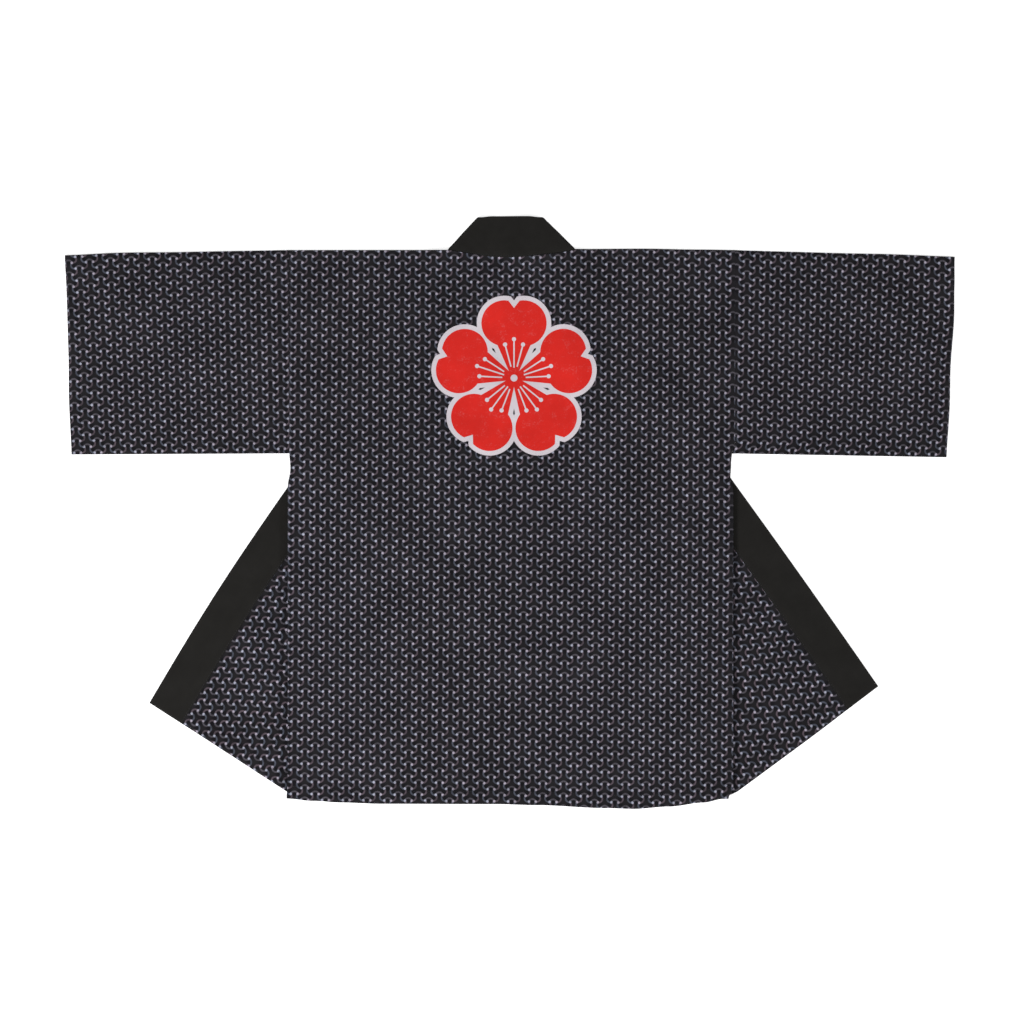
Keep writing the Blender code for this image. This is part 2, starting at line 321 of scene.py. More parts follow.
STORAGE_FOLDS = (
    Crease((-0.280, -0.026), (0.290, -0.029), 0.007, 0.0022, 0.0015),
    Crease((-0.300, -0.228), (0.285, -0.231), 0.007, 0.0023, 0.0015),
    Crease((-0.208, -0.080), (-0.206, -0.385), 0.008, 0.0017, 0.0015),
)
CREASES = (
    *STORAGE_FOLDS,
    Crease((-0.305, 0.070), (-0.120, -0.085), 0.010, 0.0017),
    Crease((-0.300, 0.040), (-0.170, -0.150), 0.013, 0.0012),
    Crease((0.308, 0.066), (0.130, -0.070), 0.011, 0.0016),
    Crease((0.305, 0.030), (0.190, -0.160), 0.014, 0.0011),
    Crease((-0.110, 0.355), (-0.270, 0.180), 0.014, 0.0013),
    Crease((0.118, 0.352), (0.270, 0.205), 0.013, 0.0013),
    Crease((-0.060, -0.410), (-0.085, -0.260), 0.018, 0.0010),
    Crease((0.085, -0.415), (0.060, -0.260), 0.016, 0.0012),
    Crease((0.215, -0.410), (0.190, -0.250), 0.014, 0.0012),
    Crease((-0.010, -0.050), (0.020, -0.200), 0.024, 0.0009),
    Crease((-0.335, 0.330), (-0.590, 0.300), 0.013, 0.0014),
    Crease((-0.350, 0.215), (-0.600, 0.230), 0.018, 0.0010),
    Crease((-0.330, 0.130), (-0.520, 0.150), 0.012, 0.0015),
    Crease((0.340, 0.325), (0.600, 0.290), 0.014, 0.0013),
    Crease((0.345, 0.205), (0.610, 0.215), 0.017, 0.0011),
    Crease((0.340, 0.125), (0.540, 0.150), 0.012, 0.0014),
    Crease((-0.345, -0.080), (-0.400, -0.280), 0.012, 0.0011),
    Crease((-0.320, -0.230), (-0.350, -0.370), 0.014, 0.0012),
    Crease((0.350, -0.075), (0.410, -0.270), 0.012, 0.0011),
    Crease((0.325, -0.220), (0.360, -0.360), 0.014, 0.0012),
)


def relief(x: float, y: float) -> float:
    """How far the creases and the cloth's soft waves lift it at a place."""
    waves = 2.0 + math.sin(17.0 * x + 9.0 * y + 0.6) + math.sin(23.0 * y - 11.0 * x)
    return WAVE_HEIGHT * waves + sum(crease.rise(x, y) for crease in CREASES)


def fold_lightening(x: float, y: float) -> float:
    """How much lighter the cloth is made along the folds that it was stored in."""
    return min(1.0, sum(fold.rise(x, y) / fold.height for fold in STORAGE_FOLDS))


@dataclass(frozen=True)
class Side:
    """One side of the coat in its own plan, where x runs outward from the middle."""

    name: str
    sign: int
    seam_x: float
    neck_x: float
    collar_top_x: float
    foot_x: float
    fold_tilt: float
    front_width: float
    edge_tilt: float
    bow: float
    bow_span: float
    sag: float
    sag_tip: float
    side_line: tuple[Pair, ...]

    @cached_property
    def fold_normal(self) -> Pair:
        """Points from the fold line toward the middle of the coat."""
        tilt = math.radians(self.fold_tilt)
        return -math.cos(tilt), -math.sin(tilt)

    @cached_property
    def edge_normal(self) -> Pair:
        """Points off the front's free edge while the front lies unturned."""
        tilt = math.radians(self.edge_tilt)
        return -math.cos(tilt), -math.sin(tilt)

    @cached_property
    def edge_x(self) -> float:
        """The unturned free edge's place at the hem."""
        return self.foot_x - self.front_width - TURN_LENGTH

    def collar_end(self, inset: float = 0.0) -> Slant:
        """The slanting line from the neck point to the collar's top corner.

        Args:
            inset: How far inside the neck point it starts.

        Returns:
            The line.
        """
        run = self.collar_top_x - self.neck_x + inset, COLLAR_TOP_Y - SHOULDER_Y
        length = math.hypot(*run)
        return Slant((self.neck_x - inset, SHOULDER_Y), run, (run[1] / length, -run[0] / length))

    def fold_distance(self, x: float, y: float) -> float:
        """How far a point lies inside the fold line."""
        across, up = self.fold_normal
        return (x - self.foot_x) * across + (y - HEM_Y) * up

    def unturned_edge_distance(self, x: float, y: float) -> float:
        """How far a point of the unturned front lies past its free edge."""
        across, up = self.edge_normal
        return (x - self.edge_x) * across + (y - HEM_Y) * up

    def turned(self, x: float, y: float) -> Pair:
        """Where a point of the unturned front goes when the front is turned out.

        Args:
            x: The place's x.
            y: The place's y.

        Returns:
            The point on the laid-out coat.
        """
        across, up = self.fold_normal
        shift = 2.0 * self.fold_distance(x, y) - TURN_LENGTH
        return x - across * shift, y - up * shift

    def edge_distance(self, x: float, y: float) -> float:
        """How far a point of the laid-out coat lies past the turned front's free edge.

        Args:
            x: The place's x.
            y: The place's y.

        Returns:
            The distance, below 0 inside the edge.
        """
        across, up = self.fold_normal
        shift = TURN_LENGTH - 2.0 * self.fold_distance(x, y)
        return self.unturned_edge_distance(x + across * shift, y + up * shift)

    def bowed(self, x: float, y: float) -> Pair:
        """A point of the unturned front, moved as the turned part's free edge and hem bow out.

        Args:
            x: The place's x.
            y: The place's y.

        Returns:
            The moved point.
        """
        inside = self.fold_distance(x, y)
        along = min(max((y - HEM_Y) / self.bow_span, 0.0), 1.0)
        share = self.bow * math.sin(math.pi * along) * smooth(inside / BOW_FADE)
        deep = self.sag + (self.sag_tip - self.sag) * smooth((inside - TIP_FROM) / TIP_EASE)
        sag = deep * (1.0 - smooth((y - HEM_Y) / HEM_EASE)) * smooth(inside / SAG_FADE)
        return x + self.edge_normal[0] * share, y + self.edge_normal[1] * share - sag

    def drawn(self, x: float, y: float) -> float:
        """An x of the body moved so that the body's edge follows the side line."""
        near_edge = smooth((x - self.seam_x + SIDE_EASE) / SIDE_EASE)
        return x + (between(self.side_line, y) - self.seam_x) * near_edge

    def under_front(self, x: float, y: float) -> float:
        """The height of what the front's first layer lies on: the turned part and its band.

        Args:
            x: The place's x.
            y: The place's y.

        Returns:
            The height above the floor.
        """
        past_edge = self.edge_distance(x, y)
        if past_edge > 0.0:
            return (BAND + GAP) * near(past_edge - LEAD, OUTER_RAMP)
        past_band = -past_edge - BAND_WIDTH
        if past_band > 0.0:
            return LAYER + (BAND + GAP - LAYER) * near(past_band - LEAD, SEAM_RAMP)
        return BAND + GAP

    def beside_fold(self, x: float, y: float) -> float:
        """1 over the turned front, falling to 0 across the middle of the coat."""
        return near(self.fold_distance(x, y) - LEAD, MIDDLE_RAMP)


LEFT = Side(
    name="left",
    sign=-1,
    seam_x=0.3190,
    neck_x=0.0880,
    collar_top_x=0.0425,
    foot_x=0.3041,
    fold_tilt=16.5,
    front_width=0.2547,
    edge_tilt=0.33,
    bow=0.0046,
    bow_span=0.370,
    sag=0.0022,
    sag_tip=0.0026,
    side_line=(
        (HEM_Y, 0.3208), (-0.3850, 0.3190),
        (0.0360, 0.3190), (0.0620, 0.3155), (0.0840, 0.3170), (0.3760, 0.3170),
    ),
)
RIGHT = Side(
    name="right",
    sign=1,
    seam_x=0.3218,
    neck_x=0.0941,
    collar_top_x=0.0448,
    foot_x=0.3099,
    fold_tilt=18.2,
    front_width=0.2736,
    edge_tilt=1.10,
    bow=0.0011,
    bow_span=0.354,
    sag=0.0044,
    sag_tip=0.0026,
    side_line=(
        (HEM_Y, 0.3152), (-0.3940, 0.3218), (0.0300, 0.3218), (0.0480, 0.3178),
        (0.0700, 0.3190), (0.0860, 0.3204), (0.1000, 0.3250), (0.3760, 0.3250),
    ),
)
SIDES = (LEFT, RIGHT)


def hemmed(inside: float) -> float:
    """The cloth's wall at a distance inside a hemmed edge."""
    return WALL + (HEM_WALL - WALL) * near(inside - HEM_DEPTH + HEM_STEP, 2.0 * HEM_STEP)


def seam_roll(edge: float, y: float) -> float:
    """How far the side seam's soft roll lifts the cloth, below the armholes."""
    return SEAM_ROLL * near(edge, ROLL_REACH) * smooth((ROLL_TOP_Y - y) / ROLL_EASE)


def top_rise(x: float, below: float) -> float:
    """How far the top line's unevenness moves a point up the coat.

    Args:
        x: The point's x.
        below: How far the point lies below the top fold.

    Returns:
        The move in y.
    """
    return between(TOP_LINE, x) * near(below, TOP_EASE)


def under_back(x: float, y: float) -> float:
    """The height of what the back lies on.

    Args:
        x: The place's x.
        y: The place's y.

    Returns:
        The height above the floor.
    """
    return sum(
        (side.under_front(side.sign * x, y) + LAYER) * side.beside_fold(side.sign * x, y)
        for side in SIDES
    )


def under_collar(x: float, y: float) -> float:
    """The height of what the collar's stretch behind the neck lies on."""
    return sum((BAND + GAP) * side.beside_fold(side.sign * x, y) for side in SIDES)


def neck_scoop(x: float) -> float:
    """How far the neckline dips below the shoulder fold, 0 at both neck points.

    Args:
        x: The place's x.

    Returns:
        The dip.
    """
    low, high = (side.sign * side.neck_x for side in SIDES)
    share = (2.0 * x - low - high) / (high - low)
    return NECK_SCOOP * max(0.0, 1.0 - share * share)


class Field:
    """A number that varies over a surface, held as a socket of a node tree, with arithmetic."""

    def __init__(self, tree: bpy.types.NodeTree, socket: Socket) -> None:
        """Wraps a socket of the tree."""
        self.tree = tree
        self.socket = socket

    def made(self, operation: str, *others: "Field | float") -> "Field":
        """The result of a Math node fed by this field and others.

        Args:
            operation: The node's operation.
            others: Its other inputs.

        Returns:
            What the node gives.
        """
        node = self.tree.nodes.new("ShaderNodeMath")
        node.operation = operation
        for slot, value in zip(node.inputs, (self, *others)):
            if isinstance(value, Field):
                self.tree.links.new(value.socket, slot)
            else:
                slot.default_value = value
        return Field(self.tree, node.outputs[0])

    __add__ = partialmethod(made, "ADD")
    __sub__ = partialmethod(made, "SUBTRACT")
    __mul__ = partialmethod(made, "MULTIPLY")
    least = partialmethod(made, "MINIMUM")
    most = partialmethod(made, "MAXIMUM")
    size = partialmethod(made, "ABSOLUTE")
    sine = partialmethod(made, "SINE")
    cosine = partialmethod(made, "COSINE")
    root = partialmethod(made, "SQRT")

    def wrapped(self, half: float) -> "Field":
        """The value repeated between minus half and half."""
        return self.made("WRAP", half, -half)

    def eased(self, at_none: float, at_full: float) -> "Field":
        """0 at one value and 1 at another, eased between and held outside.

        Args:
            at_none: The value that gives 0.
            at_full: The value that gives 1.

        Returns:
            The eased share.
        """
        node = self.tree.nodes.new("ShaderNodeMapRange")
        node.interpolation_type = "SMOOTHSTEP"
        rising = at_none < at_full
        ends = (at_none, at_full, 0.0, 1.0) if rising else (at_full, at_none, 1.0, 0.0)
        self.tree.links.new(self.socket, node.inputs[0])
        for slot, value in zip(node.inputs[1:5], ends):
            slot.default_value = value
        return Field(self.tree, node.outputs[0])


def far(across: Field, up: Field) -> Field:
    """The distance from the origin."""
    return (across * across + up * up).root()


class Shader:
    """One cloth material while its nodes are being laid."""

    bump = 0.6
    specular = 0.10
    sheen_roughness = 0.45

    def __init__(self, name: str) -> None:
        """Starts a material with a Principled shader.

        Args:
            name: The material's name.
        """
        self.material = bpy.data.materials.new(name)
        self.material.use_nodes = True
        self.tree = self.material.node_tree
        self.principled = self.tree.nodes["Principled BSDF"]

    def node(self, kind: str) -> bpy.types.Node:
        """Adds a node."""
        return self.tree.nodes.new(kind)

    def link(self, source: Socket, target: Socket) -> None:
        """Joins two sockets."""
        self.tree.links.new(source, target)

    def split(self, vector: Socket) -> tuple[Field, Field]:
        """The first two numbers of a vector.

        Args:
            vector: The vector's socket.

        Returns:
            Its x and its y.
        """
        node = self.node("ShaderNodeSeparateXYZ")
        self.link(vector, node.inputs[0])
        return Field(self.tree, node.outputs[0]), Field(self.tree, node.outputs[1])

    def cloth_map(self) -> Socket:
        """The piece's own map, in cloth metres.

        Returns:
            The map's socket.
        """
        node = self.node("ShaderNodeUVMap")
        node.uv_map = "cloth"
        return node.outputs[0]

    def object_map(self) -> Socket:
        """Object coordinates, which are the row frame's metres."""
        return self.node("ShaderNodeTexCoord").outputs["Object"]

    def share(self, name: str) -> Field:
        """A share kept on the mesh's points.

        Args:
            name: The share's name on the mesh.

        Returns:
            The share over the surface.
        """
        node = self.node("ShaderNodeAttribute")
        node.attribute_name = name
        return Field(self.tree, node.outputs["Fac"])

    def noise(self, vector: Socket, scale: float, detail: float = 2.0) -> Field:
        """Soft noise, about 0.5 in the mean.

        Args:
            vector: The coordinates to read.
            scale: Features to the metre.
            detail: How many finer layers it has.

        Returns:
            The noise's strength.
        """
        node = self.node("ShaderNodeTexNoise")
        node.inputs["Scale"].default_value = scale
        node.inputs["Detail"].default_value = detail
        self.link(vector, node.inputs["Vector"])
        return Field(self.tree, node.outputs["Fac"])

    def mixed(self, share: Field, low: Color | Socket, high: Color | Socket) -> Socket:
        """A colour between two.

        Args:
            share: 0 for the first colour and 1 for the second.
            low: The first colour, or the socket that gives it.
            high: The second colour, or the socket that gives it.

        Returns:
            The colour's socket.
        """
        node = self.node("ShaderNodeMix")
        node.data_type = "RGBA"
        self.link(share.socket, node.inputs[0])
        for slot, color in ((node.inputs[6], low), (node.inputs[7], high)):
            if isinstance(color, tuple):
                slot.default_value = (*color, 1.0)
            else:
                self.link(color, slot)
        return node.outputs[2]

    def scaled(self, color: Socket, by: Field) -> Socket:
        """A colour made lighter or darker by a field.

        Args:
            color: The colour's socket.
            by: How much of it stays.

        Returns:
            The new colour's socket.
        """
        node = self.node("ShaderNodeVectorMath")
        node.operation = "SCALE"
        self.link(color, node.inputs[0])
        self.link(by.socket, node.inputs["Scale"])
        return node.outputs[0]

    def finish(
        self, color: Socket, roughness: Field, height: Field, depth: float, sheen: float
    ) -> Material:
        """Feeds the shader and closes the material.

        Args:
            color: The colour's socket.
            roughness: The roughness over the surface.
            height: The fine relief, 0 to 1.
            depth: The relief's depth in metres.
            sheen: How much the fibre ends catch light.

        Returns:
            The material.
        """
        bump = self.node("ShaderNodeBump")
        bump.inputs["Strength"].default_value = self.bump
        bump.inputs["Distance"].default_value = depth
        self.link(height.socket, bump.inputs["Height"])
        inputs = self.principled.inputs
        self.link(bump.outputs[0], inputs["Normal"])
        self.link(color, inputs["Base Color"])
        self.link(roughness.socket, inputs["Roughness"])
        inputs["Specular IOR Level"].default_value = self.specular
        inputs["Sheen Weight"].default_value = sheen
        inputs["Sheen Roughness"].default_value = self.sheen_roughness
        return self.material


@dataclass(frozen=True)
class Weave:
    """A plain weave of fine cotton thread."""

    pitch: float = 0.00092
    slub: float = 140.0
    fibre: float = 2600.0

    def height(self, shader: Shader, vector: Socket) -> Field:
        """The weave's relief, 0 to 1: threads that pass over and under, some of them thick.

        Args:
            shader: The material being laid.
            vector: The cloth's map.

        Returns:
            The relief over the surface.
        """
        across, up = shader.split(vector)
        turn = 2.0 * math.pi / self.pitch
        knots = (across * turn).sine() * (up * turn).sine()
        ribs = (across * (turn * 2.0)).cosine() * 0.3 + (up * (turn * 2.0)).cosine() * 0.3
        fibre = shader.noise(vector, self.fibre, 3.0)
        thick = shader.noise(vector, self.slub, 2.0)
        return (knots * 0.2 + ribs * 0.2 + fibre * 0.35 + thick * 0.35) + 0.1


@dataclass(frozen=True)
class ChainPrint:
    """The small three-armed chain lattice, charted on its own repeat."""

    row_pitch: float = 0.01738
    column_pitch: float = 0.01490
    corner: float = 0.01000
    edge_half: float = 0.00500
    waist: float = 0.00479
    swing: float = 0.00288
    line_half: float = 0.00110
    line_spread: float = 0.00060
    line_soft: float = 0.00080
    blob: float = 0.00172
    blob_soft: float = 0.00085

    def cell(self, across: Field, up: Field) -> tuple[Field, Field]:
        """A place of the print, measured from the nearest motif's middle.

        Args:
            across: The place's distance across the cloth.
            up: The place's distance up the cloth.

        Returns:
            The distances across and up from the nearest motif's middle.
        """
        half_row = self.row_pitch / 2.0
        first = across.wrapped(self.column_pitch), up.wrapped(half_row)
        second = (
            (across + self.column_pitch).wrapped(self.column_pitch),
            (up + half_row).wrapped(half_row),
        )
        lengths = [x * x + y * y for x, y in (first, second)]
        nearer = lengths[0].made("LESS_THAN", lengths[1])
        return tuple(b + (a - b) * nearer for a, b in zip(first, second))

    def outline(self, across: Field, up: Field, turn: float) -> Field:
        """How fully a place of a motif lies on the outline that faces a direction.

        Args:
            across: The place's distance across from the motif's middle.
            up: The place's distance up from the motif's middle.
            turn: The direction that the outline faces, in degrees.

        Returns:
            1 on the outline, 0 off it.
        """
        angle = math.radians(turn)
        out = across * math.cos(angle) + up * math.sin(angle)
        side = up * math.cos(angle) - across * math.sin(angle)
        share = side * (1.0 / self.edge_half)
        bend = share * share
        beyond = side.size().made("GREATER_THAN", self.edge_half)
        outside = (out - bend * self.swing - self.waist).size() - bend * self.line_spread + beyond
        return outside.eased(self.line_half + self.line_soft, self.line_half - self.line_soft)

    def corners(self, across: Field, up: Field, turn: float) -> Field:
        """How fully a place of a motif lies on the dots at three of its cell's corners.

        Args:
            across: The place's distance across from the motif's middle.
            up: The place's distance up from the motif's middle.
            turn: The direction of one of the three corners, in degrees.

        Returns:
            1 on a dot, 0 off it.
        """
        angle = up.made("ARCTAN2", across) - math.radians(turn)
        swing = angle.wrapped(math.radians(60.0)).cosine()
        reach = far(across, up)
        square = reach * reach + self.corner * self.corner - reach * swing * (2.0 * self.corner)
        return square.most(0.0).root().eased(self.blob + self.blob_soft, self.blob - self.blob_soft)


@dataclass(frozen=True)
class Blossom:
    """A plain five-petalled blossom in red with a pale outline, printed on the back."""

    middle: Pair = (0.0065, 0.1930)
    lobe_out: float = 0.0790
    lobe_side: float = 0.0140
    lobe: float = 0.0330
    notch: float = 0.1010
    notch_spread: float = 1.30
    outline: float = 0.0066
    stem_lean: float = 0.44
    stem_half: float = 0.0030
    stem_square: float = 0.915
    stem_end: float = 0.0700
    stamen_turn: float = 15.0
    stamen_half: float = 0.0010
    long_stamen: Pair = (0.0150, 0.0540)
    short_stamen: Pair = (0.0170, 0.0480)
    tips_at: Pair = (0.0560, 0.0500)
    tip: float = 0.0030
    heart: float = 0.0120
    eye: float = 0.0050
    soft: float = 0.00035
    red: Color = (0.690, 0.0222, 0.0164)
    pale: Color = (0.675, 0.619, 0.662)

    def petal(self, out: Field, side: Field) -> Field:
        """How far a place lies outside the nearest petal, below 0 inside it.

        Args:
            out: The distance along the nearest petal.
            side: The distance beside its middle.

        Returns:
            The distance over the surface.
        """
        lobe = far(out - self.lobe_out, side - self.lobe_side) - self.lobe
        spread = math.hypot(1.0, self.notch_spread)
        cut = (out - self.notch - side * self.notch_spread) * (1.0 / spread)
        stem = (side - out * self.stem_lean - self.stem_half) * self.stem_square
        stem = stem.most(out - self.stem_end)
        return lobe.most(cut).least(stem)

    def stamens(self, out: Field, side: Field) -> Field:
        """How far a place lies outside the thin stamens, below 0 on them.

        Args:
            out: The distance along the nearest petal.
            side: The distance beside its middle.

        Returns:
            The distance over the surface.
        """
        lean = math.radians(self.stamen_turn)
        leaned_out = out * math.cos(lean) + side * math.sin(lean)
        leaned_side = side * math.cos(lean) - out * math.sin(lean)
        low, high = self.long_stamen
        middle = (side - self.stamen_half).most(out - high).most(out * -1.0 + low)
        low, high = self.short_stamen
        outer = (leaned_side.size() - self.stamen_half).most(leaned_out - high)
        outer = outer.most(leaned_out * -1.0 + low)
        tips = far(out - self.tips_at[0], side) - self.tip
        tips = tips.least(far(leaned_out - self.tips_at[1], leaned_side) - self.tip)
        return middle.least(outer).least(tips)

    def painted(self, shader: Shader, ground: Socket, ink: Field) -> Socket:
        """Lays the blossom over the cloth's print.

        Args:
            shader: The material being laid.
            ground: The colour under it.
            ink: How full the ink is, over the cloth.

        Returns:
            The colour's socket.
        """
        across, up = shader.split(shader.object_map())
        across, up = across - self.middle[0], up - self.middle[1]
        reach = far(across, up)
        angle = across.made("ARCTAN2", up).wrapped(math.radians(36.0))
        out, side = reach * angle.cosine(), (reach * angle.sine()).size()
        petal = self.petal(out, side).least(reach - self.heart)
        edged = petal.eased(self.outline + self.soft, self.outline - self.soft)
        color = shader.mixed(edged * ink, ground, self.pale)
        color = shader.mixed(petal.eased(self.soft, -self.soft) * ink, color, self.red)
        marks = self.stamens(out, side).least(reach - self.eye)
        return shader.mixed(marks.eased(self.soft, -self.soft) * ink, color, self.pale)


@dataclass(frozen=True)
class PrintedCotton:
    """Black cotton with the pale chain print, and on the back the blossom."""

    name: str
    strength: float = 1.0
    blossom: Blossom | None = None
    weave: Weave = field(default_factory=Weave)
    chart: ChainPrint = field(default_factory=ChainPrint)
    heart: Color = (0.0126, 0.0116, 0.0136)
    ground: Color = (0.0053, 0.0050, 0.0070)
    worn: Color = (0.042, 0.040, 0.046)
    left_line: Color = (0.110, 0.085, 0.104)
    right_line: Color = (0.085, 0.094, 0.125)
    cap_line: Color = (0.096, 0.088, 0.106)
    cool_blob: Color = (0.451, 0.464, 0.571)
    warm_blob: Color = (0.470, 0.426, 0.515)
    drift: Pair = (0.0016, 0.0012)
    depth: float = 0.00045
    sheen: float = 0.04

    def material(self) -> Material:
        """Lays the material's nodes.

        Returns:
            The material.
        """
        shader = Shader(self.name)
        vector = shader.cloth_map()
        across, up = shader.split(vector)
        drift = shader.noise(vector, 26.0, 1.0)
        across, up = across + drift * self.drift[0], up - drift * self.drift[1]
        x, y = self.chart.cell(across, up)
        grain = self.weave.height(shader, vector)
        ink = shader.noise(vector, 420.0, 3.0).eased(0.22, 0.62) * 0.45 + 0.55
        ink = ink * (grain * 0.5 + 0.75)
        uneven = shader.noise(vector, 75.0, 2.0).eased(0.25, 0.70) * 0.50 + 0.62
        ink = (ink * uneven).least(1.0) * self.strength
        broad = shader.noise(vector, 14.0, 4.0)
        color = shader.mixed(far(x, y).eased(0.0020, 0.0085), self.heart, self.ground)
        color = shader.mixed(broad.eased(0.3, 0.8) * 0.10, color, self.worn)
        lines = (150.0, self.left_line), (30.0, self.right_line), (270.0, self.cap_line)
        for turn, line in lines:
            color = shader.mixed(self.chart.outline(x, y, turn) * ink, color, line)
        for turn, blob in ((0.0, self.cool_blob), (60.0, self.warm_blob)):
            color = shader.mixed(self.chart.corners(x, y, turn) * ink, color, blob)
        # The wear share mixes toward the lighter worn colour: real wear at hems and edges, and a
        # lighter tone along the folds
        wear = shader.share("wear") * shader.noise(vector, 95.0, 3.0).eased(0.35, 0.75)
        color = shader.mixed(wear * 0.35, color, self.worn)
        if self.blossom:
            full = (ink * (1.0 / self.strength)).eased(0.1, 0.7) * 0.16 + 0.84
            color = self.blossom.painted(shader, color, full * self.strength)
        color = shader.scaled(color, (grain * 0.24 + 0.88) * (broad * 0.55 + 0.725))
        pucker = shader.share("seam") * shader.noise(vector, 120.0, 1.0)
        roughness = shader.noise(vector, 60.0) * 0.12 + 0.80
        height = grain * 0.35 + pucker * 1.6
        return shader.finish(color, roughness, height, self.depth, self.sheen)


@dataclass(frozen=True)
class BlackCotton:
    """Plain black cotton for the collar band, a little warmer and denser than the printed cloth."""

    name: str
    color: Color = (0.0128, 0.0120, 0.0109)
    worn: Color = (0.0262, 0.0248, 0.0232)
    weave: Weave = field(default_factory=lambda: Weave(0.00074, 90.0))
    depth: float = 0.00045
    sheen: float = 0.05

    def material(self) -> Material:
        """Lays the material's nodes.

        Returns:
            The material.
        """
        shader = Shader(self.name)
        vector = shader.cloth_map()
        grain = self.weave.height(shader, vector)
        broad = shader.noise(vector, 24.0, 4.0)
        color = shader.mixed(broad.eased(0.3, 0.75) * 0.22, self.color, self.worn)
        wear = shader.share("wear") * shader.noise(vector, 130.0, 3.0).eased(0.3, 0.7)
        color = shader.mixed(wear * 0.45, color, self.worn)
        color = shader.scaled(color, grain * 0.5 + 0.75)
        pucker = shader.share("seam") * shader.noise(vector, 130.0, 1.0)
        roughness = shader.noise(vector, 70.0) * 0.12 + 0.76
        height = grain * 0.4 + pucker * 1.2
        return shader.finish(color, roughness, height, self.depth, self.sheen)


@dataclass(frozen=True)
class Thread:
    """Black sewing thread, twisted, with a little gloss."""

    name: str = "sewing_thread"
    color: Color = (0.020, 0.020, 0.023)
    bright: Color = (0.050, 0.050, 0.056)
    ply: float = 9000.0
    depth: float = 0.0001
    sheen: float = 0.05

    def material(self) -> Material:
        """Lays the material's nodes.

        Returns:
            The material.
        """
        shader = Shader(self.name)
        vector = shader.object_map()
        across, up = shader.split(vector)
        twist = ((across + up) * self.ply).sine() * 0.5 + 0.5
        fibre = shader.noise(vector, 1800.0)
        color = shader.mixed(twist * 0.6 + fibre * 0.3, self.color, self.bright)
        return shader.finish(color, fibre * 0.2 + 0.5, twist, self.depth, self.sheen)


@dataclass(frozen=True)
class PaleFloor:
    """A plain pale light table, lit from below so that next to no shadow shows on it."""

    name: str = "pale_floor"
    color: Color = (0.93, 0.93, 0.93)
    shade: Color = (0.90, 0.90, 0.905)
    glow: float = 0.62
    grain: float = 300.0
    depth: float = 0.00005

    def material(self) -> Material:
        """Lays the material's nodes.

        Returns:
            The material.
        """
        shader = Shader(self.name)
        vector = shader.object_map()
        broad = shader.noise(vector, 1.5, 2.0)
        color = shader.mixed(broad * 0.4, self.color, self.shade)
        shader.principled.inputs["Emission Color"].default_value = (1.0, 1.0, 1.0, 1.0)
        shader.principled.inputs["Emission Strength"].default_value = self.glow
        grain = shader.noise(vector, self.grain)
        return shader.finish(color, broad * 0.1 + 0.85, grain, self.depth, 0.0)


# How strongly the print shows through on the cloth's inside
SHOW_THROUGH = 0.30


@dataclass(frozen=True)
class Palette:
    """The materials that the pieces share."""

    back: Material
    printed: Material
    back_inside: Material
    printed_inside: Material
    black: Material
    thread: Material

    @classmethod
    def mixed(cls) -> "Palette":
        """Makes every material once.

        Returns:
            The materials.
        """
        return cls(
            back=PrintedCotton("printed_cotton_back", blossom=Blossom()).material(),
            printed=PrintedCotton("printed_cotton_cloth").material(),
            back_inside=PrintedCotton(
                "printed_cotton_back_inside", SHOW_THROUGH, Blossom()
            ).material(),
            printed_inside=PrintedCotton("printed_cotton_inside", SHOW_THROUGH).material(),
            black=BlackCotton("black_cotton_band").material(),
            thread=Thread().material(),
        )


